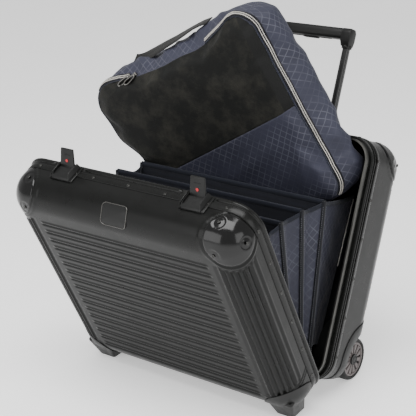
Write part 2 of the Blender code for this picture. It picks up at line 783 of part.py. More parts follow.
def make_handle_bezel():
    """A moulded surround that carries the two poles through the top of the rear shell."""
    form = shell_solid(1.0, BEZEL_PROUD)
    bezel = add_part("handle_bezel", form, MOULDED)
    add_bevel(bezel, CORNER_RADIUS + BEZEL_PROUD, CORNER_STEPS)
    window = box_mesh(
        (-BEZEL_HALF_WIDTH, BEZEL_Y[0], 0.355),
        (BEZEL_HALF_WIDTH, BEZEL_Y[1], 0.40),
    )
    combine(bezel, window, "INTERSECT", (0.006, 3))
    inner = shell_solid(1.0, GAP, 0.14)
    combine(bezel, inner, "DIFFERENCE", (CORNER_RADIUS + GAP, CORNER_STEPS))
    cut_pole_holes(bezel, SLEEVE_RADIUS + GAP, 0.30, 0.45)


def make_file():
    """Stiff dividers that fan out with the lid, standing on one base board."""
    add_part("file_base", box_mesh(FILE_BASE_LOW, FILE_BASE_HIGH), NAVY)
    panel_axis = new_empty("rear_panel_axis", (0.0, REAR_PANEL_Y, DIVIDER_PIVOT_Z), CASE)
    panel_axis.rotation_euler = (-REAR_PANEL_LEAN, 0.0, 0.0)
    panel = box_mesh(
        (-REAR_PANEL_HALF_WIDTH, 0.0, 0.0002),
        (REAR_PANEL_HALF_WIDTH, DIVIDER_THICKNESS, REAR_PANEL_TOP - DIVIDER_PIVOT_Z),
    )
    panel_part = add_part("file_rear_panel", panel, NAVY, panel_axis)
    add_bevel(panel_part, 0.0008, 1)
    for name, y, height, angle in DIVIDERS:
        axis = new_empty(f"{name}_axis", (0.0, y, DIVIDER_PIVOT_Z), CASE)
        axis.rotation_euler = (angle, 0.0, 0.0)
        board = box_mesh(
            (-DIVIDER_HALF_WIDTH, -DIVIDER_THICKNESS / 2.0, 0.0002),
            (DIVIDER_HALF_WIDTH, DIVIDER_THICKNESS / 2.0, height),
        )
        part = add_part(name, board, NAVY, axis)
        add_bevel(part, 0.0008, 1)


def divider_point(index, along):
    """A point in the YZ plane, at a distance up the divider of that number."""
    _, y, _, angle = DIVIDERS[index]
    return (y - along * math.sin(angle), DIVIDER_PIVOT_Z + along * math.cos(angle))


def make_gussets():
    """The side gussets of the file, each one thin fan over the ends of the dividers."""
    rear_top = REAR_PANEL_Y + (REAR_PANEL_TOP - DIVIDER_PIVOT_Z) * math.sin(REAR_PANEL_LEAN)
    outline = [
        (REAR_PANEL_Y, 0.080),
        (rear_top, REAR_PANEL_TOP - 0.003),
        divider_point(2, 0.268),
        divider_point(1, 0.260),
        divider_point(0, 0.252),
        divider_point(0, 0.060),
    ]
    for side_name, side in sides():
        mesh = flat_mesh([outline], GUSSET_THICKNESS)
        turn = Matrix(((0, 0, 1, 0), (1, 0, 0, 0), (0, 1, 0, 0), (0, 0, 0, 1)))
        x = side * (DIVIDER_HALF_WIDTH + GAP * 2.0 + GUSSET_THICKNESS / 2.0)
        mesh.transform(Matrix.Translation((x, 0.0, 0.0)) @ turn)
        add_part(f"file_gusset_{side_name}", mesh, LATTICE)


def pouch_axes():
    """The pouch's parent: on its swing axis, turned from the stowed to the resting place."""
    axes = new_empty("pouch_axis", POUCH_SWING_POINT, CASE)
    axes.rotation_mode = "QUATERNION"
    turn = Matrix.Rotation(POUCH_SWING, 4, Vector(POUCH_SWING_AXIS).normalized())
    axes.rotation_quaternion = turn.to_quaternion()
    return axes


def keep_clear(obj, axes, mesh):
    """Cuts a shape given in the case's axes from a part of the swung pouch."""
    swung = axes.rotation_quaternion.to_matrix().to_4x4()
    to_case = Matrix.Translation(POUCH_SWING_POINT) @ swung
    mesh.transform(to_case.inverted())
    return combine(obj, mesh, "DIFFERENCE")


def make_pouch():
    axes = pouch_axes()
    stowed = Vector(POUCH_STOWED_CENTRE) - Vector(POUCH_SWING_POINT)
    half = Vector(POUCH_SIZE) / 2.0
    pouch = add_part("pouch_body", box_mesh(stowed - half, stowed + half), LATTICE, axes)
    add_bevel(pouch, 0.022, 4)
    divider_axis = Matrix.Translation((0.0, DIVIDERS[2][1], DIVIDER_PIVOT_Z))
    divider_axis = divider_axis @ Matrix.Rotation(DIVIDERS[2][3], 4, "X")
    ahead = box_mesh((-0.4, -0.3, -0.1), (0.4, DIVIDER_THICKNESS / 2.0 + CLEAR, 0.2745))
    ahead.transform(divider_axis)
    keep_clear(pouch, axes, ahead)
    panel_axis = Matrix.Translation((0.0, REAR_PANEL_Y, DIVIDER_PIVOT_Z))
    panel_axis = panel_axis @ Matrix.Rotation(-REAR_PANEL_LEAN, 4, "X")
    behind = box_mesh((-0.4, -CLEAR, -0.1), (0.4, 0.3, 0.2875))
    behind.transform(panel_axis)
    keep_clear(pouch, axes, behind)
    outside = box_mesh((DIVIDER_HALF_WIDTH, -0.3, -0.1), (0.4, 0.3, 0.310))
    keep_clear(pouch, axes, outside)
    over_frame = box_mesh((-0.4, -TONGUE_DEPTH - CLEAR, 0.3735), (0.4, 0.3, 0.390))
    keep_clear(pouch, axes, over_frame)
    above = box_mesh((-0.4, 0.0, 0.3895), (0.4, 0.3, 0.9))
    keep_clear(pouch, axes, above)
    make_pouch_trim(axes, stowed, half)


def make_pouch_trim(axes, stowed, half):
    """The webbing carry loop on the short top side, and the two zip pulls beside it."""
    top = stowed.z + half.z + GAP
    y = stowed.y
    rise = STRAP_RISE
    reach = STRAP_REACH
    outer = []
    steps = 14
    for step in range(steps + 1):
        angle = math.pi * step / steps
        outer.append((reach * math.cos(angle), rise * math.sin(angle) ** 0.7))
    inner_reach = reach - STRAP_THICKNESS * 1.5
    inner_rise = rise - STRAP_THICKNESS
    inner = []
    for step in range(steps + 1):
        angle = math.pi * step / steps
        inner.append((inner_reach * math.cos(angle), inner_rise * math.sin(angle) ** 0.7))
    strap = flat_mesh([outer + inner[::-1]], STRAP_WIDTH)
    strap.transform(Matrix.Rotation(math.radians(90.0), 4, "X"))
    strap.transform(Matrix.Translation((stowed.x, y, top)))
    add_part("pouch_strap", strap, MESH_BLACK, axes)
    for index in (0, 1):
        x = stowed.x - 0.112 - 0.011 * index
        pull = box_mesh(
            (x - 0.0022, stowed.y - half.y - 0.0030, stowed.z + half.z - 0.052),
            (x + 0.0022, stowed.y - half.y - 0.0010, stowed.z + half.z - 0.024),
        )
        part = add_part(f"zip_pull_{'ab'[index]}", pull, ZIP, axes)
        add_bevel(part, 0.0006, 1)


make_rear_shell()
make_front_shell()
make_frames()
make_hinges()
make_corner_caps()
make_wheel_housings()
make_wheels()
make_feet()
make_latches()
make_badge()
make_handle()
make_handle_bezel()
make_file()
make_gussets()
make_pouch()
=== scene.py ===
"""Looks of the open pilot flight case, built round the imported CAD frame."""

import json
import math

import bmesh
import bpy
import numpy as np
from mathutils import Matrix, Vector, noise
from mathutils.bvhtree import BVHTree


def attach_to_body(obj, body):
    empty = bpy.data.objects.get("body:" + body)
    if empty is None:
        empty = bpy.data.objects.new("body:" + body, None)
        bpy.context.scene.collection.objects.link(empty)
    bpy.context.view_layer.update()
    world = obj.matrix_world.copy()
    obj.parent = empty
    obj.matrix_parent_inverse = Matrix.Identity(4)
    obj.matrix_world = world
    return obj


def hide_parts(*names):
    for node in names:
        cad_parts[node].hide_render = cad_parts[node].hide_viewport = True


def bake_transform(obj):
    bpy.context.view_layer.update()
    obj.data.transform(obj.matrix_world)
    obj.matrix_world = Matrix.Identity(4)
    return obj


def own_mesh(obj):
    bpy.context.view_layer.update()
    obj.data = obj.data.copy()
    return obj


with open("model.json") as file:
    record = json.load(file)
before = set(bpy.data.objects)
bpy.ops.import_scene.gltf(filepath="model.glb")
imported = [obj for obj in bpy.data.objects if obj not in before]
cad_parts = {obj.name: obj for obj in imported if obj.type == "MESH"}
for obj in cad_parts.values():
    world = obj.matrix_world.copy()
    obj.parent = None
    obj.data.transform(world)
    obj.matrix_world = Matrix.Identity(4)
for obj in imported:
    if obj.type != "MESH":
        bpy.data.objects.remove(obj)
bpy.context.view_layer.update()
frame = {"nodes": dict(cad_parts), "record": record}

# ---------------------------------------------------------------- dimensions (metres)
HALF_WIDTH = 0.2145
HEIGHT = 0.384
FRONT_DEPTH = 0.0735
REAR_DEPTH = 0.112
CORNER = 0.040
RIM = 0.0223
HINGE_Z = -0.0045
LATCH_X = 0.1215
SHELL_THICK = 0.0014
WHEEL_Y, WHEEL_Z = 0.107, 0.036
ARCH_Y, ARCH_RADIUS = 0.105, 0.0664
POLE_X, POLE_Y, POLE_FLAT = 0.0715, 0.0965, 0.0056
CAP_CENTRE = (HALF_WIDTH - 0.006, 0.008, HEIGHT - 0.006)
CAP_RADIUS = 0.050

CASE = Matrix.Translation((0.0149, -0.0247, 0.0377)) @ Matrix.Rotation(math.radians(-20.0), 4, "X")
OUTWARD = Matrix.Diagonal((1.0, -1.0, 1.0, 1.0))
LID_AXES = (
    CASE
    @ Matrix.Translation((0.0, 0.0, HINGE_Z))
    @ Matrix.Rotation(math.radians(48.54), 4, "X")
    @ Matrix.Translation((0.0, 0.0, -HINGE_Z))
)
# Shell axes are (x, depth outward from the seam, height) on both halves.
LID = LID_AXES @ OUTWARD
REAR = CASE


# ---------------------------------------------------------------- small helpers
def smooth_by_angle(obj, angle=math.radians(40.0)):
    mesh = obj.data
    mesh.shade_smooth()
    mesh.set_sharp_from_angle(angle=angle)


def place_mesh(name, mesh, matrix, material, body, angle, check=False):
    """Puts a mesh into the scene, its place baked into its points."""
    if matrix is not None:
        mesh.transform(matrix)
        if matrix.determinant() < 0.0:
            mesh.flip_normals()
    if check:
        mesh.validate()
    mesh.update()
    obj = bpy.data.objects.new(name, mesh)
    bpy.context.scene.collection.objects.link(obj)
    if material is not None:
        mesh.materials.append(material)
    smooth_by_angle(obj, math.radians(angle))
    return assign(obj, body)


def make_object(name, verts, faces, matrix, material, body, slot=None, angle=40.0):
    mesh = bpy.data.meshes.new(name)
    mesh.from_pydata([tuple(v) for v in verts], [], [tuple(f) for f in faces])
    return place_mesh(name, mesh, matrix, material, body, angle, check=True)


def from_bmesh(name, bm, matrix, material, body, angle=40.0):
    mesh = bpy.data.meshes.new(name)
    bm.to_mesh(mesh)
    bm.free()
    return place_mesh(name, mesh, matrix, material, body, angle)


def bake_modifiers(obj, angle=40.0):
    graph = bpy.context.evaluated_depsgraph_get()
    mesh = bpy.data.meshes.new_from_object(obj.evaluated_get(graph))
    obj.modifiers.clear()
    obj.data = mesh
    smooth_by_angle(obj, math.radians(angle))


def box_bmesh(low, high, bevel=0.0, segments=3):
    bm = bmesh.new()
    bmesh.ops.create_cube(bm, size=1.0)
    low, high = Vector(low), Vector(high)
    for vert in bm.verts:
        vert.co = Vector(
            low[i] + (high[i] - low[i]) * (vert.co[i] + 0.5) for i in range(3)
        )
    if bevel:
        bmesh.ops.bevel(
            bm, geom=bm.edges[:], offset=bevel, segments=segments, affect="EDGES", profile=0.5
        )
    return bm


def revolve(profile, steps, axis="X"):
    """Closed-in-itself surface of revolution; profile points are (along the axis, radius)."""
    verts, faces = [], []
    count = len(profile)
    for i in range(steps):
        turn = 2.0 * math.pi * i / steps
        c, s = math.cos(turn), math.sin(turn)
        for along, radius in profile:
            if axis == "X":
                verts.append((along, radius * c, radius * s))
            elif axis == "Z":
                verts.append((radius * c, radius * s, along))
    for i in range(steps):
        j = (i + 1) % steps
        for k in range(count - 1):
            faces.append((i * count + k, i * count + k + 1, j * count + k + 1, j * count + k))
    return verts, faces


def fix_normals(obj):
    bm = bmesh.new()
    bm.from_mesh(obj.data)
    bmesh.ops.remove_doubles(bm, verts=bm.verts, dist=1e-6)
    bmesh.ops.recalc_face_normals(bm, faces=bm.faces)
    bm.to_mesh(obj.data)
    bm.free()
    return obj


def settle(obj, angle):
    """Outward normals, and shading that is smooth up to an angle."""
    fix_normals(obj)
    smooth_by_angle(obj, math.radians(angle))
    return obj


def assign(obj, body, node=None):
    """Says what the piece rides on and which CAD node it stands for."""
    if body:
        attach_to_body(obj, body)
    if node:
        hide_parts(node)
    return obj


def put_material(obj, material):
    obj.data.materials.clear()
    obj.data.materials.append(material)


def sweep(sections, closed=True):
    """Joins sections, one ring of points for each station, into a tube."""
    verts = [point for section in sections for point in section]
    count = len(sections[0])
    stations = len(sections)
    faces = []
    for i in range(stations if closed else stations - 1):
        j = (i + 1) % stations
        for k in range(count):
            n = (k + 1) % count
            faces.append((i * count + k, i * count + n, j * count + n, j * count + k))
    if not closed:
        faces.append(tuple(range(count)))
        faces.append(tuple(reversed(range((stations - 1) * count, stations * count))))
    return verts, faces


def bump_up(distance, half_width):
    """A smooth hump, 1 in the middle and 0 past its half width."""
    t = np.clip(np.abs(distance) / half_width, 0.0, 1.0)
    return 0.5 * (1.0 + np.cos(math.pi * t))


# ---------------------------------------------------------------- materials
class Nodes:
    """A short way to write a material's node tree."""

    def __init__(self, name, color, rough, metal=0.0, **inputs):
        self.material = bpy.data.materials.new(name)
        self.material.use_nodes = True
        self.tree = self.material.node_tree
        self.shader = self.tree.nodes["Principled BSDF"]
        self.shader.inputs["Base Color"].default_value = (*color, 1.0)
        self.shader.inputs["Roughness"].default_value = rough
        self.shader.inputs["Metallic"].default_value = metal
        for key, value in inputs.items():
            self.shader.inputs[key.replace("_", " ")].default_value = value
        self.coords = self.add("ShaderNodeTexCoord").outputs["Object"]
        self.bumped = None

    def add(self, kind, **settings):
        node = self.tree.nodes.new(kind)
        for key, value in settings.items():
            setattr(node, key, value)
        return node

    def link(self, source, target):
        self.tree.links.new(source, target)

    def value(self, socket, source):
        if isinstance(source, (int, float)):
            socket.default_value = source
        elif isinstance(source, tuple):
            socket.default_value = source
        else:
            self.link(source, socket)

    def math(self, operation, a, b=0.0, c=0.0):
        node = self.add("ShaderNodeMath", operation=operation)
        for socket, source in zip(node.inputs, (a, b, c)):
            self.value(socket, source)
        return node.outputs[0]

    def noise(self, scale, detail=2.0, rough=0.5, coords=None, stretch=None, distort=0.0):
        coords = coords or self.coords
        if stretch:
            mapping = self.add("ShaderNodeMapping")
            mapping.inputs["Scale"].default_value = stretch
            self.link(coords, mapping.inputs["Vector"])
            coords = mapping.outputs[0]
        node = self.add("ShaderNodeTexNoise")
        self.link(coords, node.inputs["Vector"])
        node.inputs["Scale"].default_value = scale
        node.inputs["Detail"].default_value = detail
        node.inputs["Roughness"].default_value = rough
        node.inputs["Distortion"].default_value = distort
        return node.outputs["Fac"]

    def span(self, source, low, high, out_low=0.0, out_high=1.0):
        node = self.add("ShaderNodeMapRange")
        self.link(source, node.inputs["Value"])
        for index, number in zip((1, 2, 3, 4), (low, high, out_low, out_high)):
            node.inputs[index].default_value = number
        return node.outputs[0]

    def mix(self, factor, a, b):
        node = self.add("ShaderNodeMix", data_type="RGBA")
        self.value(node.inputs["Factor"], factor)
        self.value(node.inputs[6], (*a, 1.0) if isinstance(a, tuple) else a)
        self.value(node.inputs[7], (*b, 1.0) if isinstance(b, tuple) else b)
        return node.outputs[2]

    def color(self, source):
        self.link(source, self.shader.inputs["Base Color"])

    def rough(self, source):
        self.link(source, self.shader.inputs["Roughness"])

    def bump(self, height, distance, strength=1.0):
        node = self.add("ShaderNodeBump")
        node.inputs["Distance"].default_value = distance
        node.inputs["Strength"].default_value = strength
        self.link(height, node.inputs["Height"])
        if self.bumped:
            self.link(self.bumped, node.inputs["Normal"])
        self.bumped = node.outputs[0]
        self.link(self.bumped, self.shader.inputs["Normal"])

    def edge_wear(self, base, worn, low=0.53, high=0.60):
        pointy = self.add("ShaderNodeNewGeometry").outputs["Pointiness"]
        speckle = self.noise(60.0, 4.0, 0.6)
        mask = self.math("MULTIPLY", self.span(pointy, low, high), self.span(speckle, 0.4, 0.65))
        return self.mix(mask, base, worn)


def satin_metal(name, color, rough, metal=0.75, grain=0.00004, lighter=1.35, gloss=0.5):
    """Anodised sheet: fine grain, slight patchiness and paler edges."""
    mat = Nodes(name, color, rough, metal, Specular_IOR_Level=gloss)
    patch = mat.noise(9.0, 3.0, 0.55)
    base = mat.mix(
        mat.span(patch, 0.35, 0.65),
        tuple(c * 0.90 for c in color),
        tuple(c * 1.12 for c in color),
    )
    mat.color(mat.edge_wear(base, tuple(min(1.0, c * lighter) for c in color)))
    mat.rough(mat.span(mat.noise(45.0, 4.0, 0.6), 0.3, 0.7, rough - 0.05, rough + 0.06))
    mat.bump(mat.noise(1500.0, 2.0, 0.6), grain, 0.35)
    return mat.material


def polished(name, color):
    """Lacquered metal, with the faint waves of a hand-buffed surface."""
    mat = Nodes(name, color, 0.13, 0.0, Specular_IOR_Level=0.34)
    mat.rough(mat.span(mat.noise(30.0, 4.0, 0.6), 0.35, 0.75, 0.10, 0.19))
    mat.bump(mat.noise(26.0, 2.0, 0.5), 0.0002, 0.25)
    return mat.material


def moulded(name, color, rough, grain=0.00006):
    mat = Nodes(name, color, rough, 0.0, Specular_IOR_Level=0.24)
    patch = mat.span(mat.noise(14.0, 3.0, 0.5), 0.3, 0.7)
    mat.color(mat.mix(patch, tuple(c * 0.85 for c in color), tuple(c * 1.15 for c in color)))
    mat.rough(mat.span(mat.noise(120.0, 3.0, 0.6), 0.3, 0.7, rough - 0.06, rough + 0.07))
    mat.bump(mat.noise(900.0, 3.0, 0.6), grain, 0.5)
    return mat.material


def weave_height(mat, coords, scale):
    """Plain weave: two crossing bands."""
    waves = []
    for direction in ("X", "Y"):
        wave = mat.add("ShaderNodeTexWave", wave_type="BANDS", bands_direction=direction)
        wave.inputs["Scale"].default_value = scale
        wave.inputs["Distortion"].default_value = 0.4
        wave.inputs["Detail Scale"].default_value = 2.0
        mat.link(coords, wave.inputs["Vector"])
        waves.append(wave.outputs["Fac"])
    return mat.math("MULTIPLY", waves[0], waves[1])


def woven(name, color, rough=0.85, scale=260.0, contrast=0.25, sheen=0.25):
    mat = Nodes(name, color, rough, 0.0)
    mat.shader.inputs["Sheen Weight"].default_value = sheen
    mat.shader.inputs["Sheen Roughness"].default_value = 0.4
    mat.shader.inputs["Specular IOR Level"].default_value = 0.25
    weave = weave_height(mat, mat.coords, scale)
    cloud = mat.span(mat.noise(18.0, 4.0, 0.6), 0.3, 0.7, 0.85, 1.15)
    tone = mat.math("MULTIPLY", mat.span(weave, 0.0, 1.0, 1.0 - contrast, 1.0 + contrast), cloud)
    shade = mat.add("ShaderNodeVectorMath", operation="SCALE")
    shade.inputs[0].default_value = color
    mat.link(tone, shade.inputs["Scale"])
    mat.color(shade.outputs[0])
    mat.rough(mat.span(mat.noise(70.0, 3.0, 0.5), 0.3, 0.7, rough - 0.06, min(1.0, rough + 0.05)))
    mat.bump(weave, 0.00015, 0.5)
    mat.bump(mat.noise(60.0, 3.0, 0.6), 0.0006, 0.35)
    return mat.material


def lattice_lines(mat, a, b, pitch, width):
    """1 on the lines of a slanted grid over two length sockets, 0 between them."""
    wobble = mat.math("MULTIPLY", mat.math("SUBTRACT", mat.noise(30.0, 2.0, 0.5), 0.5), pitch * 0.10)
    lines = []
    for combined in (mat.math("ADD", a, b), mat.math("SUBTRACT", a, b)):
        moved = mat.math("ADD", combined, wobble)
        share = mat.math("FRACT", mat.math("DIVIDE", moved, pitch))
        cell = mat.math("ABSOLUTE", mat.math("SUBTRACT", share, 0.5))
        lines.append(mat.span(cell, 0.5 - width / pitch, 0.5 - 0.3 * width / pitch))
    return mat.math("MAXIMUM", lines[0], lines[1])


def lattice_fabric(name, color, line_color, pitch, attribute=None, strength=1.0):
    """Twill with a plain jacquard lattice. Its coordinates are lengths in metres."""
    mat = Nodes(name, color, 0.62, 0.0)
    mat.shader.inputs["Sheen Weight"].default_value = 0.08
    mat.shader.inputs["Sheen Roughness"].default_value = 0.35
    mat.shader.inputs["Specular IOR Level"].default_value = 0.22
    node = mat.add("ShaderNodeAttribute", attribute_name=attribute)
    split = mat.add("ShaderNodeSeparateXYZ")
    mat.link(node.outputs["Vector"], split.inputs[0])
    a, b = split.outputs[0], split.outputs[1]
    lines = lattice_lines(mat, a, b, pitch, 0.0013)
    worn = mat.span(mat.noise(22.0, 3.0, 0.6), 0.42, 0.62, 0.12, 1.0)
    lines = mat.math("MULTIPLY", mat.math("MULTIPLY", lines, worn), strength)
    twill = mat.add("ShaderNodeTexWave", wave_type="BANDS", bands_direction="DIAGONAL")
    twill.inputs["Scale"].default_value = 420.0
    mat.link(node.outputs["Vector"], twill.inputs["Vector"])
    cloud = mat.span(mat.noise(14.0, 4.0, 0.55), 0.3, 0.7, 0.86, 1.14)
    shade = mat.add("ShaderNodeVectorMath", operation="SCALE")
    shade.inputs[0].default_value = color
    bands = mat.span(twill.outputs["Fac"], 0.0, 1.0, 0.88, 1.12)
    mat.link(mat.math("MULTIPLY", bands, cloud), shade.inputs["Scale"])
    mat.color(mat.mix(lines, shade.outputs[0], line_color))
    mat.rough(mat.span(lines, 0.0, 1.0, 0.62, 0.42))
    mat.bump(twill.outputs["Fac"], 0.00012, 0.4)
    mat.bump(mat.noise(38.0, 4.0, 0.6), 0.0010, 0.45)
    mat.bump(lines, 0.0002, 0.6)
    return mat


SHELL = satin_metal("shell_satin", (0.0042, 0.0044, 0.0041), 0.30, 0.0, 0.00003, 1.25, 0.165)
FRAME_METAL = satin_metal("frame_satin", (0.0042, 0.0044, 0.0041), 0.27, 0.0, 0.00003, 1.3, 0.20)
FRAME_LIGHT = satin_metal("frame_inner_edge", (0.055, 0.054, 0.050), 0.34, 0.85)
CAP_GLOSS = polished("polished_black", (0.0025, 0.0025, 0.0025))
CAP_SATIN = satin_metal("cap_satin", (0.0040, 0.0042, 0.0040), 0.24, 0.0, 0.00003, 1.3, 0.24)
MOULDED = moulded("moulded_black", (0.0058, 0.0060, 0.0058), 0.40)
MOULDED_DARK = moulded("moulded_recess", (0.004, 0.004, 0.004), 0.60)
RUBBER = moulded("tyre_rubber", (0.0120, 0.0124, 0.0120), 0.62, 0.0001)
RIM_GREY = moulded("rim_grey", (0.115, 0.100, 0.098), 0.42)
RIVET = satin_metal("rivet_dark_steel", (0.045, 0.045, 0.043), 0.26, 0.90, 0.00002)
POLE_BLACK = satin_metal("pole_anodised", (0.008, 0.008, 0.008), 0.25, 0.0, 0.00003, 1.5, 0.4)
STEEL = satin_metal("brushed_steel", (0.045, 0.045, 0.047), 0.34, 1.0)
LINING = woven("lining_black", (0.006, 0.006, 0.007), 0.92, 300.0, 0.2, 0.05)
NAVY = woven("navy_fabric", (0.0048, 0.0055, 0.0095), 0.85, 280.0, 0.25, 0.08)
BINDING = woven("navy_binding", (0.0045, 0.0060, 0.0125), 0.75, 420.0, 0.35, 0.10)
STRIP_BLACK = woven("black_tape", (0.0045, 0.005, 0.0075), 0.88, 420.0, 0.3, 0.1)
THREAD = woven("light_thread", (0.15, 0.155, 0.175), 0.7, 900.0, 0.3, 0.2)
WEBBING = woven("black_webbing", (0.0105, 0.0105, 0.0100), 0.80, 500.0, 0.4, 0.08)
PIPING = woven("navy_piping", (0.0080, 0.0105, 0.0230), 0.55, 500.0, 0.3, 0.2)
NICKEL = satin_metal("zip_nickel", (0.13, 0.126, 0.118), 0.25, 1.0, 0.00002)
RED_DOT = moulded("red_dot", (0.45, 0.02, 0.025), 0.35)
BADGE_RIM = satin_metal("badge_rim", (0.10, 0.098, 0.092), 0.26, 1.0)
ZIP_COIL = moulded("zip_coil_light", (0.52, 0.50, 0.46), 0.38)


# ---------------------------------------------------------------- shells
def axis_steps(low, high, step, round_low=True, round_high=True, corner_steps=10):
    """Stations along one axis: evenly turned round each corner, evenly spaced between."""
    turn = [CORNER * math.tan(math.radians(45.0) * (1 - i / corner_steps)) for i in range(corner_steps)]
    start = low + CORNER if round_low else low
    end = high - CORNER if round_high else high
    count = max(1, round((end - start) / step))
    middle = [start + (end - start) * i / count for i in range(count + 1)]
    head = [start - t for t in turn] if round_low else []
    tail = [end + t for t in reversed(turn)] if round_high else []
    return np.array(head + middle + tail)


def relief_surface(depth, relief, steps, corner_steps=34):
    """Points, faces of a rounded tray: (x, depth, z), open at the seam, raised by relief."""
    x_step, d_step, z_step = steps
    xs = axis_steps(-HALF_WIDTH, HALF_WIDTH, x_step, corner_steps=corner_steps)
    zs = axis_steps(0.0, HEIGHT, z_step, corner_steps=12)
    ds = axis_steps(RIM, depth, d_step, round_low=False, corner_steps=corner_steps)
    grids = []
    for x in (-HALF_WIDTH, HALF_WIDTH):
        d, z = np.meshgrid(ds, zs, indexing="ij")
        grids.append((np.full_like(d, x), d, z, x < 0))
    for z in (0.0, HEIGHT):
        x, d = np.meshgrid(xs, ds, indexing="ij")
        grids.append((x, d, np.full_like(x, z), z == 0.0))
    x, z = np.meshgrid(xs, zs, indexing="ij")
    grids.append((x, np.full_like(x, depth), z, True))
    points, faces, base = [], [], 0
    for gx, gd, gz, flip in grids:
        rows, cols = gx.shape
        points.append(np.stack([gx, gd, gz], -1).reshape(-1, 3))
        index = np.arange(rows * cols).reshape(rows, cols) + base
        quads = np.stack([index[:-1, :-1], index[1:, :-1], index[1:, 1:], index[:-1, 1:]], -1)
        quads = quads.reshape(-1, 4)
        faces.append(quads[:, ::-1] if flip else quads)
        base += rows * cols
    points, faces = np.vstack(points), np.vstack(faces)
    _, first, inverse = np.unique(
        np.round(points, 6), axis=0, return_index=True, return_inverse=True
    )
    points, faces = points[first], inverse.reshape(-1)[faces]
    placed, normal = round_off(points, depth)
    placed = placed + normal * relief(placed, normal)[:, None]
    return placed, faces


def round_off(points, depth):
    """Maps points of the sharp box onto the rounded form. Returns points and normals."""
    low = np.array([-HALF_WIDTH + CORNER, -1.0, CORNER])
    high = np.array([HALF_WIDTH - CORNER, depth - CORNER, HEIGHT - CORNER])
    core = np.clip(points, low, high)
    core[:, 1] = np.minimum(points[:, 1], depth - CORNER)
    out = points - core
    normal = out / np.maximum(np.linalg.norm(out, axis=1), 1e-9)[:, None]
    return core + normal * CORNER, normal


def around_corner(points, normal, depth):
    """Length along the horizontal section, 0 where the front face begins to turn."""
    turn = np.arctan2(np.abs(normal[:, 0]), np.maximum(normal[:, 1], 0.0))
    flat = np.maximum(0.0, HALF_WIDTH - CORNER - np.abs(points[:, 0]))
    side = np.maximum(0.0, depth - CORNER - points[:, 1])
    return CORNER * turn - np.where(turn < 0.01, flat, 0.0) + np.where(turn > 1.56, side, 0.0)


def cap_distance(points, depth):
    """Distance outside the corner cap's edge."""
    x = np.abs(points[:, 0]) - CAP_CENTRE[0]
    d = points[:, 1] - (depth - CAP_CENTRE[1])
    z = points[:, 2] - CAP_CENTRE[2]
    return np.sqrt(x * x + d * d + z * z) - CAP_RADIUS


GROOVE_TOP, GROOVE_PITCH, GROOVE_COUNT, GROOVE_HALF = 0.3190, 0.0173, 17, 0.154
RIB_FIRST, RIB_PITCH, RIB_COUNT = -0.0015, 0.0093, 7


def rib_foot(along):
    """Where the upright ribs end, rising towards the side."""
    return 0.047 + 0.010 * np.clip(along / 0.04, 0.0, 3.0) ** 1.6


def front_relief(points, normal, depth=FRONT_DEPTH):
    x, z = points[:, 0], points[:, 2]
    height = np.zeros(len(points))
    face = normal[:, 1] > 0.985
    past = np.maximum(np.abs(x) - GROOVE_HALF, 0.0)
    rows = np.zeros(len(points))
    for k in range(GROOVE_COUNT):
        level = GROOVE_TOP - GROOVE_PITCH * k
        rows += 0.0014 * bump_up(np.hypot(past, z - level - 0.0050), 0.0034)
        rows -= 0.0020 * bump_up(np.hypot(past, z - level), 0.0030)
    height += np.where(face, rows, 0.0)
    along = around_corner(points, normal, depth)
    upright = np.zeros(len(points))
    bottom = rib_foot(along)
    for k in range(RIB_COUNT):
        centre = RIB_FIRST + RIB_PITCH * k
        weight = 1.0 if k < 6 else 0.5
        upright -= weight * 0.0021 * bump_up(along - centre, 0.0030)
        upright += weight * 0.0012 * bump_up(along - centre - 0.0046, 0.0026)
    top = np.clip((cap_distance(points, depth) - 0.010) / 0.003, 0.0, 1.0)
    foot = np.clip((z - bottom) / 0.003, 0.0, 1.0)
    level = (np.abs(normal[:, 2]) < 0.3) & (z > 0.03)
    height += np.where(level, upright * top * foot, 0.0)
    lip = 0.0010 * bump_up(z - bottom + 0.0045, 0.0028) - 0.0010 * bump_up(z - bottom + 0.0095, 0.0022)
    lip *= np.clip((along + 0.012) / 0.006, 0.0, 1.0) * np.clip((0.095 - along) / 0.006, 0.0, 1.0)
    height += np.where(level, lip, 0.0)
    ring = cap_distance(points, depth)
    height += 0.0009 * bump_up(ring - 0.0055, 0.0024) - 0.0007 * bump_up(ring - 0.0016, 0.0016)
    return height


def rear_relief(points, normal, depth=REAR_DEPTH):
    x, z = points[:, 0], points[:, 2]
    past = np.maximum(np.abs(x) - GROOVE_HALF, 0.0)
    rows = np.zeros(len(points))
    for k in range(GROOVE_COUNT):
        level = GROOVE_TOP - GROOVE_PITCH * k
        rows += 0.0010 * bump_up(np.hypot(past, z - level - 0.0052), 0.0036)
        rows -= 0.0011 * bump_up(np.hypot(past, z - level), 0.0030)
    height = np.where(normal[:, 1] > 0.985, rows, 0.0)
    along = around_corner(points, normal, depth)
    upright = np.zeros(len(points))
    for k in range(5):
        centre = RIB_FIRST + RIB_PITCH * k
        upright -= 0.0014 * bump_up(along - centre, 0.0026)
        upright += 0.0007 * bump_up(along - centre - 0.0042, 0.0022)
    top = np.clip((cap_distance(points, depth) - 0.010) / 0.003, 0.0, 1.0)
    foot = np.clip((z - 0.118) / 0.003, 0.0, 1.0)
    height += np.where(np.abs(normal[:, 2]) < 0.3, upright * top * foot, 0.0)
    ring = cap_distance(points, depth)
    height += 0.0007 * bump_up(ring - 0.0050, 0.0022) - 0.0005 * bump_up(ring - 0.0014, 0.0014)
    return height


def make_shell(name, matrix, depth, relief, steps):
    points, faces = relief_surface(depth, relief, steps)
    obj = make_object(name, points, faces, matrix, SHELL, None, None, 60.0)
    fix_normals(obj)
    solid = obj.modifiers.new("thickness", "SOLIDIFY")
    solid.thickness = SHELL_THICK
    solid.offset = -1.0
    return obj


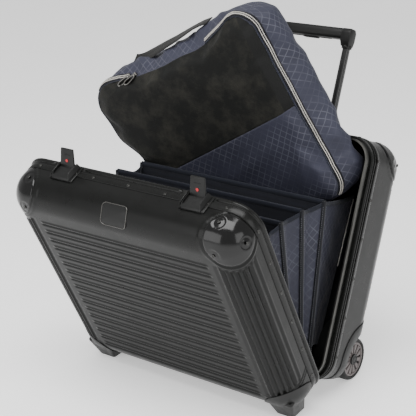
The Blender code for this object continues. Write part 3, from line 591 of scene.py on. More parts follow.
def boolean(obj, other, operation):
    cut = obj.modifiers.new("cut", "BOOLEAN")
    cut.object = other
    cut.operation = operation
    cut.solver = "EXACT"
    return other


def bake_and_remove(obj, others, angle):
    bake_modifiers(obj, angle)
    for other in others:
        bpy.data.objects.remove(other)


def soften(obj, width, segments=2, angle=35.0):
    edge = obj.modifiers.new("edge", "BEVEL")
    edge.width, edge.segments = width, segments
    edge.limit_method = "ANGLE"
    edge.angle_limit = math.radians(angle)


def cut_with(obj, cutters):
    for cutter in cutters:
        boolean(obj, cutter, "DIFFERENCE")
    bake_and_remove(obj, cutters, 60.0)


def cylinder_object(name, matrix, centre, radius, length, axis="X", steps=96):
    bm = bmesh.new()
    bmesh.ops.create_cone(
        bm, cap_ends=True, segments=steps, radius1=radius, radius2=radius, depth=length
    )
    if axis == "X":
        bmesh.ops.rotate(bm, verts=bm.verts, matrix=Matrix.Rotation(math.pi / 2, 3, "Y"))
    bmesh.ops.translate(bm, verts=bm.verts, vec=centre)
    return from_bmesh(name, bm, matrix, None, None)


def make_shells():
    front = make_shell("front_shell_ribbed", LID, FRONT_DEPTH, front_relief, (0.0030, 0.0014, 0.00115))
    bake_modifiers(front, 60.0)
    assign(front, "lid", "front_shell")
    rear = make_shell("rear_shell_ribbed", REAR, REAR_DEPTH, rear_relief, (0.0060, 0.0045, 0.0016))
    cutters = []
    for side in (-1, 1):
        arch = (side * 0.195, ARCH_Y, WHEEL_Z)
        cutters.append(cylinder_object("arch_cut", CASE, arch, ARCH_RADIUS, 0.070))
        pole = (side * POLE_X, POLE_Y, 0.37)
        cutters.append(cylinder_object("pole_cut", CASE, pole, 0.0092, 0.08, "Z", 32))
    cut_with(rear, cutters)
    assign(rear, "root", "rear_shell")


# ---------------------------------------------------------------- seam frames
def rounded_loop(half_x, low, high, radius, corner_steps=14, straight=0.02):
    """Points and outward normals of a rounded rectangle in x, z."""
    stations = []
    corners = (
        (half_x - radius, low + radius, -90.0),
        (half_x - radius, high - radius, 0.0),
        (-half_x + radius, high - radius, 90.0),
        (-half_x + radius, low + radius, 180.0),
    )
    for cx, cz, start in corners:
        for i in range(corner_steps + 1):
            turn = math.radians(start + 90.0 * i / corner_steps)
            n = (math.cos(turn), math.sin(turn))
            stations.append(((cx + radius * n[0], cz + radius * n[1]), n))
    loop = []
    for (p, n), (q, m) in zip(stations, stations[1:] + stations[:1]):
        loop.append((p, n))
        gap = math.dist(p, q)
        if n == m and gap > straight:
            count = int(gap / straight)
            for i in range(1, count):
                t = i / count
                loop.append(((p[0] + (q[0] - p[0]) * t, p[1] + (q[1] - p[1]) * t), n))
        elif gap > straight:
            count = int(gap / straight)
            for i in range(1, count):
                t = i / count
                loop.append(((p[0] + (q[0] - p[0]) * t, p[1] + (q[1] - p[1]) * t), m))
    return loop


FRAME_LOOP = rounded_loop(HALF_WIDTH, 0.0, HEIGHT, 0.038)


def sweep_frame(name, profile, matrix, material, body, node=None):
    """Runs a closed profile of (out, depth) points round the seam."""
    sections = []
    for (x, z), (nx, nz) in FRAME_LOOP:
        sections.append([(x + nx * out, d, z + nz * out) for out, d in profile])
    obj = settle(make_object(name, *sweep(sections), matrix, material, None, None, 50.0), 50.0)
    return assign(obj, body, node)


def strip_of_loop(keep):
    """Open runs of the seam loop where keep(x, z) holds."""
    dense = rounded_loop(HALF_WIDTH, 0.0, HEIGHT, 0.038, 14, 0.002)
    flags = [keep(p[0], p[1]) for p, _ in dense]
    start = next(i for i in range(len(dense)) if flags[i] and not flags[i - 1])
    runs, run = [], []
    for i in range(len(dense)):
        k = (start + i) % len(dense)
        if flags[k]:
            run.append(dense[k])
        elif run:
            runs.append(run)
            run = []
    if run:
        runs.append(run)
    return runs


def thin_run(run):
    """Drops points on straight stretches, keeping a few at each end for the rounding."""
    kept = []
    for i, station in enumerate(run):
        near_end = min(i, len(run) - 1 - i) < 5
        previous, following = run[max(i - 1, 0)][1], run[min(i + 1, len(run) - 1)][1]
        turning = previous != station[1] or following != station[1]
        if near_end or turning or i % 8 == 0:
            kept.append(station)
    return kept


def make_lip(name, runs, matrix, body, centre_depth, half_depth, rise, material):
    """The rounded seam lip, its ends tapering off beside the latches."""
    bm = bmesh.new()
    for run in runs:
        run = thin_run(run)
        distances = [0.0]
        for (p, _), (q, _) in zip(run, run[1:]):
            distances.append(distances[-1] + math.dist(p, q))
        total = distances[-1]
        sections = []
        for ((x, z), (nx, nz)), at in zip(run, distances):
            end = min(at, total - at)
            grow = math.sqrt(max(0.02, min(1.0, 1.0 - (1.0 - min(end, 0.008) / 0.008) ** 2)))
            section = []
            for i in range(14):
                turn = math.pi * i / 13.0
                out = -0.0005 + rise * grow * math.sin(turn)
                deep = centre_depth - half_depth * grow * math.cos(turn)
                section.append((x + nx * out, deep, z + nz * out))
            sections.append(section)
        verts, faces = sweep(sections, False)
        made = [bm.verts.new(v) for v in verts]
        for face in faces:
            bm.faces.new([made[i] for i in face])
    bmesh.ops.recalc_face_normals(bm, faces=bm.faces)
    obj = from_bmesh(name, bm, matrix, material, body, 60.0)
    return obj


def make_frames():
    inner = -0.0034
    front_profile = [
        (inner, 0.0003), (0.0004, 0.0003), (0.0008, 0.0007), (0.0008, 0.0095), (0.0002, 0.0100),
        (0.0002, 0.0108), (0.0011, 0.0114), (0.0011, 0.0204), (0.0004, 0.0212), (-0.0010, 0.0216),
        (-0.0010, 0.0220), (inner, 0.0220),
    ]
    sweep_frame("front_frame_profiled", front_profile, LID, FRAME_METAL, "lid", "front_frame")
    rear_profile = [
        (-0.0062, -0.0125), (-0.0042, -0.0125), (-0.0042, 0.0004), (-0.0008, 0.0004),
        (0.0006, 0.0010), (0.0010, 0.0020), (0.0006, 0.0032), (-0.0030, 0.0036), (-0.0030, 0.0064),
        (0.0004, 0.0068), (0.0010, 0.0080), (0.0006, 0.0094), (-0.0026, 0.0098), (-0.0026, 0.0126),
        (0.0006, 0.0130), (0.0010, 0.0138), (0.0010, 0.0208), (0.0004, 0.0214), (-0.0012, 0.0217),
        (-0.0012, 0.0220), (-0.0068, 0.0220), (-0.0068, 0.0005), (-0.0062, 0.0002),
    ]
    sweep_frame("rear_frame_profiled", rear_profile, REAR, FRAME_METAL, "root", "rear_frame")
    tongue = [(-0.0064, -0.0128), (-0.0040, -0.0128), (-0.0040, -0.0060), (-0.0064, -0.0060)]
    sweep_frame("rear_frame_tongue_edge", tongue, REAR, FRAME_LIGHT, "root")

    def beside_latches(x, z):
        return not (z > 0.30 and LATCH_X - 0.029 < abs(x) < LATCH_X + 0.026)

    runs = strip_of_loop(beside_latches)
    make_lip("front_seam_lip", runs, LID, "lid", 0.0050, 0.0040, 0.0040, FRAME_METAL)


# ---------------------------------------------------------------- rivets
def rivet_bmesh(bm, matrix, radius=0.0027):
    profile = (
        (0.0000, 1.10), (0.0005, 1.08), (0.0009, 0.98), (0.0011, 0.80), (0.0010, 0.66),
        (0.0005, 0.58), (0.0004, 0.34), (0.0008, 0.24), (0.0009, 0.001),
    )
    verts, faces = revolve([(h, r * radius) for h, r in profile], 18, "Z")
    made = [bm.verts.new(matrix @ Vector(v)) for v in verts]
    for face in faces:
        bm.faces.new([made[i] for i in face])


def pointing(point, normal, matrix):
    """A local-to-world placement at a point, its Z along the normal."""
    world_point = matrix @ Vector(point)
    world_normal = (matrix.to_3x3() @ Vector(normal)).normalized()
    return Matrix.Translation(world_point) @ world_normal.to_track_quat("Z", "Y").to_matrix().to_4x4()


def make_rivets(name, placements, body):
    bm = bmesh.new()
    for matrix, point, normal, radius in placements:
        rivet_bmesh(bm, pointing(point, normal, matrix), radius)
    bmesh.ops.recalc_face_normals(bm, faces=bm.faces)
    return from_bmesh(name, bm, None, RIVET, body, 50.0)


def frame_rivets():
    side_x = HALF_WIDTH + 0.0010
    top = HEIGHT + 0.0010
    front, rear = [], []
    for side in (-1, 1):
        for k in range(6):
            front.append((LID, (side * side_x, 0.0162, 0.352 - 0.061 * k), (side, 0, 0), 0.0026))
            rear.append((REAR, (side * side_x, 0.0172, 0.354 - 0.062 * k), (side, 0, 0), 0.0026))
        for x in (0.067, 0.174):
            front.append((LID, (side * x, 0.0162, top), (0, 0, 1), 0.0026))
            rear.append((REAR, (side * x, 0.0172, top), (0, 0, 1), 0.0026))
    front.append((LID, (0.0, 0.0162, top), (0, 0, 1), 0.0026))
    rear.append((REAR, (0.0, 0.0172, top), (0, 0, 1), 0.0026))
    make_rivets("front_frame_rivets", front, "lid")
    make_rivets("rear_frame_rivets", rear, "root")


# ---------------------------------------------------------------- corner caps
def form_distance(points, depth, grow):
    """Signed distance to the rounded shell form, grown outwards."""
    low = np.array([-HALF_WIDTH + CORNER, -1.0, CORNER])
    high = np.array([HALF_WIDTH - CORNER, depth - CORNER, HEIGHT - CORNER])
    core = np.clip(points, low, high)
    return np.linalg.norm(points - core, axis=1) - CORNER - grow


def make_cap(name, node, matrix, body, depth, side, material, lift=0.0016):
    centre = np.array([side * CAP_CENTRE[0], depth - CAP_CENTRE[1], CAP_CENTRE[2]])
    inside = np.array([side * (HALF_WIDTH - 0.034), depth - 0.034, HEIGHT - 0.034])
    axis = np.array([side, 1.0, 1.0]) / math.sqrt(3.0)
    first = np.cross(axis, [0.0, 0.0, 1.0])
    first /= np.linalg.norm(first)
    second = np.cross(axis, first)
    around, rings = 96, 44
    turns = 2.0 * np.pi * np.arange(around) / around
    spread = np.cos(turns)[:, None] * first + np.sin(turns)[:, None] * second

    def surface(angle):
        ray = np.cos(angle)[:, None] * axis + np.sin(angle)[:, None] * spread
        reach = np.full(around, 0.01)
        for _ in range(60):
            reach -= form_distance(inside + ray * reach[:, None], depth, 0.0)
        return inside + ray * reach[:, None]

    low, high = np.full(around, 0.2), np.full(around, 2.6)
    for _ in range(30):
        angle = 0.5 * (low + high)
        point = surface(angle)
        within = (np.linalg.norm(point - centre, axis=1) < CAP_RADIUS - 0.0005) & (point[:, 1] > RIM + 0.0008)
        low, high = np.where(within, angle, low), np.where(within, high, angle)
    edge = low
    tabs = np.array([
        [side * 0.177, depth - 0.0315, HEIGHT], [side * 0.177, depth, 0.350],
        [side * HALF_WIDTH, depth - 0.0305, 0.355],
    ])
    verts = []
    for ring in range(rings + 1):
        share = ring / rings
        point = surface(edge * share)
        core = np.clip(
            point,
            np.array([-HALF_WIDTH + CORNER, -1.0, CORNER]),
            np.array([HALF_WIDTH - CORNER, depth - CORNER, HEIGHT - CORNER]),
        )
        normal = (point - core) / CORNER
        raise_up = np.full(around, lift)
        for tab in tabs:
            away = np.linalg.norm(point - tab, axis=1)
            raise_up -= 0.0011 * (1.0 - np.clip((away - 0.0085) / 0.0022, 0.0, 1.0))
        raise_up = np.maximum(raise_up, 0.0004)
        if share > 0.965:
            raise_up *= math.sqrt(max(0.0, 1.0 - ((share - 0.965) / 0.035) ** 2))
        verts.extend(point + normal * raise_up[:, None])
        if ring == 0:
            verts = [np.mean(verts, axis=0)]
    faces = []
    for k in range(around):
        n = (k + 1) % around
        faces.append((0, 1 + k, 1 + n))
        for ring in range(rings - 1):
            a, b = 1 + ring * around, 1 + (ring + 1) * around
            faces.append((a + k, b + k, b + n, a + n))
    obj = make_object(name, verts, faces, matrix, material, body, "polished_cap", 75.0)
    settle(obj, 75.0)
    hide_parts(node)
    rivets = [
        (matrix, tuple(tabs[0] + [0, 0, 0.0006]), (0, 0, 1), 0.0024),
        (matrix, tuple(tabs[1] + [0, 0.0006, 0]), (0, 1, 0), 0.0024),
        (matrix, tuple(tabs[2] + [side * 0.0006, 0, 0]), (side, 0, 0), 0.0024),
    ]
    make_rivets(name + "_rivets", rivets, body)


def make_caps():
    for label, side in (("left", -1), ("right", 1)):
        make_cap(f"front_cap_{label}", f"front_corner_cap_{label}", LID, "lid", FRONT_DEPTH, side, CAP_GLOSS)
        make_cap(f"rear_cap_{label}", f"rear_corner_cap_{label}", REAR, "root", REAR_DEPTH, side, CAP_SATIN)


# ---------------------------------------------------------------- latches and badge
def hull_of(name, layers, matrix, material, body, bevel=0.0012):
    """A block through stacked rectangles: (z, x low, x high, d low, d high)."""
    verts, faces = [], []
    for z, x0, x1, d0, d1 in layers:
        verts += [(x0, d0, z), (x1, d0, z), (x1, d1, z), (x0, d1, z)]
    for level in range(len(layers) - 1):
        base = level * 4
        for k in range(4):
            n = (k + 1) % 4
            faces.append((base + k, base + n, base + 4 + n, base + 4 + k))
    faces.append((3, 2, 1, 0))
    top = (len(layers) - 1) * 4
    faces.append((top, top + 1, top + 2, top + 3))
    obj = make_object(name, verts, faces, matrix, material, None, None, 30.0)
    fix_normals(obj)
    soften(obj, bevel, 3, 20.0)
    bake_modifiers(obj, 30.0)
    return assign(obj, body)


def make_latches():
    top = HEIGHT + 0.0012
    for label, side in (("left", -1), ("right", 1)):
        x = side * LATCH_X + 0.0030
        from_bmesh(
            f"latch_base_{label}",
            box_bmesh((x - 0.0225, 0.0025, top - 0.0022), (x + 0.0225, 0.0350, top + 0.0012), 0.0016),
            LID, FRAME_METAL, "lid", 30.0,
        )
        block = hull_of(
            f"latch_block_{label}",
            [
                (top - 0.0010, x - 0.0180, x + 0.0180, 0.0040, 0.0355),
                (top + 0.0022, x - 0.0180, x + 0.0180, 0.0040, 0.0352),
                (top + 0.0088, x - 0.0150, x + 0.0150, 0.0050, 0.0280),
                (top + 0.0092, x - 0.0145, x + 0.0145, 0.0056, 0.0273),
            ],
            LID, MOULDED, None,
        )
        # The closed lever lies in a channel across the block.
        channel = box_bmesh((x - 0.0142, -0.0020, 0.3906), (x + 0.0142, 0.0440, 0.4010))
        cut_with(block, [from_bmesh("channel", channel, LID, None, None)])
        assign(block, "lid")
        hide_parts(f"latch_body_{label}")
        # The lever stands on the pivot, its back towards the seam.
        pivot = Matrix.Translation((x, 0.0125, 0.3920))
        turn = Matrix.Rotation(math.radians(118.0 - 90.0), 4, "X")
        lever_axes = LID @ pivot @ turn
        lever = hull_of(
            f"latch_arm_{label}",
            [
                (-0.0030, -0.0135, 0.0135, -0.0028, 0.0004),
                (0.0040, -0.0135, 0.0135, -0.0028, 0.0004),
                (0.0262, -0.0122, 0.0122, -0.0026, 0.0002),
                (0.0275, -0.0115, 0.0115, -0.0024, 0.0000),
            ],
            lever_axes, MOULDED, f"lever_{label}", 0.0008,
        )
        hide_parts(f"latch_lever_{label}")
        dot = bmesh.new()
        bmesh.ops.create_cone(dot, cap_ends=True, segments=24, radius1=0.0023, radius2=0.0021, depth=0.0008)
        bmesh.ops.rotate(dot, verts=dot.verts, matrix=Matrix.Rotation(math.pi / 2, 3, "X"))
        bmesh.ops.translate(dot, verts=dot.verts, vec=(0.0, 0.0006, 0.0090))
        from_bmesh(f"latch_dot_{label}", dot, lever_axes, RED_DOT, f"lever_{label}")
        groove = box_bmesh((-0.006, 0.0000, 0.0175), (0.006, 0.0007, 0.0187), 0.0002, 2)
        from_bmesh(
            f"latch_arm_mark_{label}", groove, lever_axes, MOULDED_DARK, f"lever_{label}"
        )
        make_bail(f"latch_bail_{label}", x, top)
        pins = []
        for offset in (-0.0200, 0.0200):
            pins.append((LID, (x + offset, 0.0175, top + 0.0010), (0, 0, 1), 0.0016))
        make_rivets(f"latch_screws_{label}", pins, "lid")


def tube_object(name, points, radius, matrix, material, body, steps=10, cyclic=False):
    curve = bpy.data.curves.new(name, "CURVE")
    curve.dimensions = "3D"
    curve.bevel_depth = radius
    curve.bevel_resolution = 3
    curve.resolution_u = steps
    curve.use_fill_caps = True
    spline = curve.splines.new("NURBS")
    spline.points.add(len(points) - 1)
    for item, point in zip(spline.points, points):
        item.co = (*point, 1.0)
    spline.order_u = min(4, len(points))
    spline.use_endpoint_u = not cyclic
    spline.use_cyclic_u = cyclic
    temp = bpy.data.objects.new(name + "_path", curve)
    bpy.context.scene.collection.objects.link(temp)
    graph = bpy.context.evaluated_depsgraph_get()
    mesh = bpy.data.meshes.new_from_object(temp.evaluated_get(graph))
    bpy.data.objects.remove(temp)
    if matrix is not None:
        mesh.transform(matrix)
    obj = bpy.data.objects.new(name, mesh)
    bpy.context.scene.collection.objects.link(obj)
    mesh.materials.clear()
    mesh.materials.append(material)
    settle(obj, 60.0)
    if body:
        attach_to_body(obj, body)
    return obj


def make_bail(name, x, top):
    """The wire bail that hooks the strike, lying at the block's side."""
    points = [
        (x - 0.0190, 0.0060, top + 0.0060), (x - 0.0215, 0.0080, top + 0.0045),
        (x - 0.0225, 0.0160, top + 0.0030), (x - 0.0228, 0.0250, top + 0.0024),
        (x - 0.0205, 0.0330, top + 0.0022), (x - 0.0160, 0.0350, top + 0.0022),
    ]
    tube_object(name, points, 0.0012, LID, FRAME_METAL, "lid")


def make_badge():
    """A blank plate bent over the front's curved top edge, with a fine bright rim."""
    middle_d, middle_z = FRONT_DEPTH - CORNER, HEIGHT - CORNER
    half_x, half_s, corner = 0.0228, 0.0158, 0.0062

    def bent(x, s, lift):
        turn = math.radians(49.0) - s / CORNER
        r = CORNER + lift
        return (x + 0.0010, middle_d + r * math.sin(turn), middle_z + r * math.cos(turn))

    outline = []
    for cx, cs, start in (
        (half_x - corner, half_s - corner, 0.0), (-half_x + corner, half_s - corner, 90.0),
        (-half_x + corner, -half_s + corner, 180.0), (half_x - corner, -half_s + corner, 270.0),
    ):
        for i in range(13):
            turn = math.radians(start + 90.0 * i / 12)
            outline.append((cx + corner * math.cos(turn), cs + corner * math.sin(turn)))
    verts, faces = [bent(0.0, 0.0, 0.0012)], []
    scales = (0.25, 0.5, 0.75, 0.92, 1.0)
    for scale in scales:
        verts += [bent(x * scale, s * scale, 0.0012) for x, s in outline]
    verts += [bent(x, s, -0.0002) for x, s in outline]
    count = len(outline)
    for k in range(count):
        n = (k + 1) % count
        faces.append((0, 1 + k, 1 + n))
        for ring in range(len(scales)):
            a, b = 1 + ring * count, 1 + (ring + 1) * count
            faces.append((a + k, b + k, b + n, a + n))
    plate = make_object("badge_plate", verts, faces, LID, MOULDED, "lid", "polished_cap", 50.0)
    settle(plate, 50.0)
    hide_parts("badge")
    rim = [bent(x * 1.01, s * 1.01, 0.0013) for x, s in outline]
    tube_object("badge_rim", rim, 0.0006, LID, BADGE_RIM, "lid", 3, True)


# ---------------------------------------------------------------- wheels, housings, feet
def make_wheels():
    for label, side in (("left", -1), ("right", 1)):
        body = f"wheel_{label}"
        axle = CASE @ Matrix.Translation((side * 0.188, WHEEL_Y, WHEEL_Z))
        axle = axle @ Matrix.Diagonal((side, 1.0, 1.0, 1.0))
        tyre = [
            (-0.0105, 0.0285), (-0.0115, 0.0290), (-0.0119, 0.0312), (-0.0112, 0.0330), (-0.0092, 0.0344),
            (-0.0060, 0.0350), (0.0060, 0.0350), (0.0092, 0.0344), (0.0112, 0.0330), (0.0119, 0.0312),
            (0.0117, 0.0292), (0.0108, 0.0286), (0.0098, 0.0285), (-0.0105, 0.0285),
        ]
        verts, faces = revolve(tyre, 128)
        obj = make_object(f"tyre_{label}_moulded", verts, faces, axle, RUBBER, None, None, 45.0)
        settle(obj, 45.0)
        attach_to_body(obj, body)
        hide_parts(f"tyre_{label}")
        dish = [
            (-0.0100, 0.0040), (-0.0100, 0.0282), (0.0104, 0.0282), (0.0108, 0.0276), (0.0106, 0.0252),
            (0.0088, 0.0246), (0.0078, 0.0240), (0.0078, 0.0112), (0.0090, 0.0106), (0.0102, 0.0102),
            (0.0102, 0.0040), (-0.0100, 0.0040),
        ]
        verts, faces = revolve(dish, 96)
        obj = make_object(f"wheel_dish_{label}", verts, faces, axle, RIM_GREY, None, None, 35.0)
        obj.data.materials.append(MOULDED_DARK)
        settle(obj, 35.0)
        inverse = axle.inverted()
        for face in obj.data.polygons:
            centre = inverse @ face.center
            radius = math.hypot(centre.y, centre.z)
            if 0.0110 < radius < 0.0243 and centre.x > 0.0:
                face.material_index = 1
        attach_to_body(obj, body)
        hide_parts(f"wheel_rim_{label}")
        bm = bmesh.new()
        for k in range(12):
            turn = Matrix.Rotation(2.0 * math.pi * k / 12, 4, "X")
            layers = ((0.0104, 0.0018), (0.0170, 0.0033), (0.0246, 0.0047))
            made = []
            for radius, half in layers:
                for x, y in ((0.0070, -half), (0.0070, half), (0.0100, half * 0.86), (0.0100, -half * 0.86)):
                    made.append(bm.verts.new(turn @ Vector((x, y, radius))))
            for level in range(2):
                base = level * 4
                for i in range(4):
                    n = (i + 1) % 4
                    bm.faces.new((made[base + i], made[base + n], made[base + 4 + n], made[base + 4 + i]))
            bm.faces.new(made[0:4])
            bm.faces.new(list(reversed(made[8:12])))
        bmesh.ops.recalc_face_normals(bm, faces=bm.faces)
        spokes = from_bmesh(f"wheel_spokes_{label}", bm, axle, RIM_GREY, None, 30.0)
        edge = spokes.modifiers.new("edge", "BEVEL")
        edge.width, edge.segments = 0.0005, 2
        edge.limit_method = "ANGLE"
        bake_modifiers(spokes, 40.0)
        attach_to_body(spokes, body)
        cap = [
            (0.0100, 0.0001), (0.0100, 0.0090), (0.0122, 0.0090), (0.0128, 0.0084), (0.0128, 0.0062),
            (0.0121, 0.0058), (0.0121, 0.0050), (0.0126, 0.0046), (0.0129, 0.0020), (0.0129, 0.0001),
        ]
        verts, faces = revolve(cap, 64)
        obj = make_object(f"wheel_cap_{label}_turned", verts, faces, axle, MOULDED, None, None, 40.0)
        settle(obj, 40.0)
        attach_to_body(obj, body)
        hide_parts(f"wheel_cap_{label}")


def shell_block(name, matrix, depth, grow, past=0.10, segments=12):
    """The shell's outer form as a closed block carried past the seam."""
    bm = box_bmesh(
        (-HALF_WIDTH - grow, -past, -grow), (HALF_WIDTH + grow, depth + grow, HEIGHT + grow),
        CORNER + grow, segments,
    )
    return from_bmesh(name, bm, matrix, None, None)


def make_housings():
    for label, side in (("left", -1), ("right", 1)):
        obj = shell_block(f"wheel_arch_{label}", CASE, REAR_DEPTH, 0.0012)
        low, high = sorted((side * 0.1608, side * 0.240))
        drum = cylinder_object("c", CASE, ((low + high) / 2, ARCH_Y, WHEEL_Z), 0.0658, high - low)
        others = [boolean(obj, drum, "INTERSECT")]
        low, high = sorted((side * 0.1665, side * 0.260))
        room = cylinder_object("c", CASE, ((low + high) / 2, WHEEL_Y, WHEEL_Z), 0.0500, high - low)
        others.append(boolean(obj, room, "DIFFERENCE"))
        bake_and_remove(obj, others, 35.0)
        put_material(obj, MOULDED)
        soften(obj, 0.0007)
        bake_modifiers(obj, 45.0)
        assign(obj, "root", f"wheel_housing_{label}")
        # A fine raised line runs round the arch, where it meets the shell.
        points = []
        for k in range(33):
            turn = math.radians(-62.0 + 152.0 * k / 32)
            y = ARCH_Y - 0.0662 * math.cos(turn)
            z = WHEEL_Z + 0.0662 * math.sin(turn)
            if y > REAR_DEPTH - 0.012:
                continue
            spread = np.array([[side * HALF_WIDTH, y, z]])
            place, normal = round_off(spread, REAR_DEPTH)
            points.append(tuple(place[0] + normal[0] * 0.0002))
        tube_object(f"wheel_arch_line_{label}", points, 0.0011, CASE, MOULDED_DARK, "root")


def tapered_block(name, centre_x, top, bottom):
    """A peg whose section changes from its top to its bottom: (z, half x, y low, y high)."""
    bm = box_bmesh((-0.5, -0.5, -0.5), (0.5, 0.5, 0.5))
    for vert in bm.verts:
        z, half, y_low, y_high = top if vert.co.z > 0.0 else bottom
        x = centre_x + math.copysign(half, vert.co.x)
        vert.co = (x, y_high if vert.co.y > 0.0 else y_low, z)
    bmesh.ops.bevel(bm, geom=bm.edges[:], offset=0.004, segments=5, affect="EDGES", profile=0.5)
    return from_bmesh(name, bm, LID_AXES, None, None)


def make_feet():
    """Moulded feet wrapped round the front's bottom corners, cut level with the floor."""
    for label, side in (("left", -1), ("right", 1)):
        obj = shell_block(f"foot_{label}_moulded", LID, FRONT_DEPTH, 0.0016)
        ball = bmesh.new()
        bmesh.ops.create_uvsphere(ball, u_segments=96, v_segments=48, radius=0.052)
        centre = (side * (HALF_WIDTH - 0.013), -FRONT_DEPTH + 0.016, 0.003)
        bmesh.ops.translate(ball, verts=ball.verts, vec=centre)
        others = [boolean(obj, from_bmesh("c", ball, LID_AXES, None, None), "INTERSECT")]
        peg = tapered_block(
            "c", side * 0.180,
            (0.030, 0.026, -FRONT_DEPTH + 0.004, -0.025),
            (-0.034, 0.0085, -FRONT_DEPTH + 0.0105, -0.0295),
        )
        others.append(boolean(obj, peg, "UNION"))
        others.append(boolean(obj, shell_block("c", LID, FRONT_DEPTH, 0.0004, 0.14), "DIFFERENCE"))
        past_frame = from_bmesh("c", box_bmesh((-0.3, -0.0232, -0.1), (0.3, 0.05, 0.2)), LID_AXES, None, None)
        others.append(boolean(obj, past_frame, "DIFFERENCE"))
        ground = from_bmesh("c", box_bmesh((-0.5, -0.5, -0.2), (0.5, 0.5, 0.0)), None, None, None)
        others.append(boolean(obj, ground, "DIFFERENCE"))
        bake_and_remove(obj, others, 35.0)
        put_material(obj, MOULDED)
        smooth_by_angle(obj, math.radians(35.0))
        assign(obj, "lid", f"foot_{label}")


# ---------------------------------------------------------------- handle
def make_handle():
    grip_low, grip_high = 0.5350, 0.5630
    y = POLE_Y
    grip = hull_of(
        "handle_grip_moulded",
        [
            (grip_low + 0.0090, -0.0780, 0.0780, y - 0.0070, y + 0.0070),
            (grip_low + 0.0125, -0.0785, 0.0785, y - 0.0098, y + 0.0098),
            (grip_high - 0.0055, -0.0785, 0.0785, y - 0.0098, y + 0.0098),
            (grip_high, -0.0770, 0.0770, y - 0.0070, y + 0.0070),
        ],
        CASE, MOULDED, "handle", 0.0030,
    )
    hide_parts("handle_grip")
    for label, side in (("left", -1), ("right", 1)):
        x0, x1 = sorted((side * 0.0610, side * 0.0790))
        hull_of(
            f"handle_cheek_{label}",
            [
                (grip_low - 0.0020, *sorted((side * 0.0635, side * 0.0785)), y - 0.0080, y + 0.0080),
                (grip_low + 0.0080, x0, x1, y - 0.0102, y + 0.0102),
                (grip_high - 0.0060, x0, x1, y - 0.0104, y + 0.0104),
                (grip_high + 0.0002, *sorted((side * 0.0620, side * 0.0780)), y - 0.0072, y + 0.0072),
            ],
            CASE, MOULDED, "handle", 0.0014,
        )
        verts, faces = [], []
        count = 32
        profile = []
        for k in range(count):
            turn = 2.0 * math.pi * k / count
            # A rounded tube with a flat at each side.
            c, s = math.cos(turn), math.sin(turn)
            r = 0.0064
            profile.append((side * POLE_X + max(-POLE_FLAT, min(POLE_FLAT, r * c)), y + r * s))
        for z in (0.2095, 0.3700, 0.4500, 0.5345):
            verts += [(px, py, z) for px, py in profile]
        for level in range(3):
            for k in range(count):
                n = (k + 1) % count
                a = level * count
                faces.append((a + k, a + n, a + count + n, a + count + k))
        faces.append(tuple(reversed(range(count))))
        faces.append(tuple(range(3 * count, 4 * count)))
        pole = make_object(f"handle_tube_{label}", verts, faces, CASE, POLE_BLACK, None, None, 40.0)
        settle(pole, 40.0)
        assign(pole, "handle", f"handle_pole_{label}")
        place = (side * POLE_X, y, 0.5325)
        collar = cylinder_object(f"handle_collar_{label}", CASE, place, 0.0086, 0.006, "Z", 40)
        collar.data.materials.append(MOULDED)
        soften(collar, 0.0010)
        bake_modifiers(collar, 40.0)
        assign(collar, "handle")
    button = from_bmesh(
        "handle_button_moulded",
        box_bmesh((-0.0140, y - 0.0046, grip_low + 0.0066), (0.0140, y + 0.0046, grip_low + 0.0120), 0.0012),
        CASE, MOULDED_DARK, "button", 30.0,
    )
    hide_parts("handle_button")
    slot_line = box_bmesh(
        (-0.040, y - 0.0015, grip_low + 0.0080), (0.040, y + 0.0015, grip_low + 0.0100), 0.0004, 2
    )
    from_bmesh("handle_grip_seam", slot_line, CASE, MOULDED_DARK, "handle")


# ---------------------------------------------------------------- file
DIVIDERS = (
    ("divider_front", "divider_front_board", -0.040, 0.257, 29.9),
    ("divider_middle", "divider_middle_board", -0.020, 0.264, 21.5),
    ("divider_rear", "divider_rear_board", 0.000, 0.272, 12.3),
)
BOARD_HALF, BOARD_THICK, PIVOT_Z = 0.1786, 0.0026, 0.012
PANEL_Y, PANEL_TOP, PANEL_HALF, PANEL_LEAN = 0.050, 0.297, 0.157, -2.4


def board_axes(y, angle):
    return CASE @ Matrix.Translation((0.0, y, PIVOT_Z)) @ Matrix.Rotation(math.radians(angle), 4, "X")


def make_board(name, node, body, axes, half, height, seed):
    """A stiffened fabric divider, its faces a little uneven."""
    columns, rows = 60, 44
    verts, faces = [], []
    for face in (-1, 1):
        for j in range(rows + 1):
            for i in range(columns + 1):
                x = -half + 2.0 * half * i / columns
                z = 0.0004 + (height - 0.0006) * j / rows
                edge = min(1.0, (half - abs(x)) / 0.006, (height - z) / 0.006)
                ripple = 0.0006 * noise.noise(Vector((x * 14.0 + seed, z * 14.0, seed)))
                y = face * BOARD_THICK * (0.25 + 0.25 * max(0.0, edge)) + ripple * max(0.0, edge)
                verts.append((x, y, z))
    size = (columns + 1) * (rows + 1)
    for j in range(rows):
        for i in range(columns):
            a = j * (columns + 1) + i
            faces.append((a, a + 1, a + columns + 2, a + columns + 1))
            faces.append((a + size, a + size + columns + 1, a + size + columns + 2, a + size + 1))
    border = [i for i in range(columns + 1)]
    border += [(j + 1) * (columns + 1) - 1 for j in range(1, rows + 1)]
    border += [rows * (columns + 1) + i for i in range(columns - 1, -1, -1)]
    border += [j * (columns + 1) for j in range(rows - 1, 0, -1)]
    for a, b in zip(border, border[1:] + border[:1]):
        faces.append((a, a + size, b + size, b))
    obj = make_object(name, verts, faces, axes, NAVY, None, None, 60.0)
    settle(obj, 60.0)
    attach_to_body(obj, body)
    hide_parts(node)


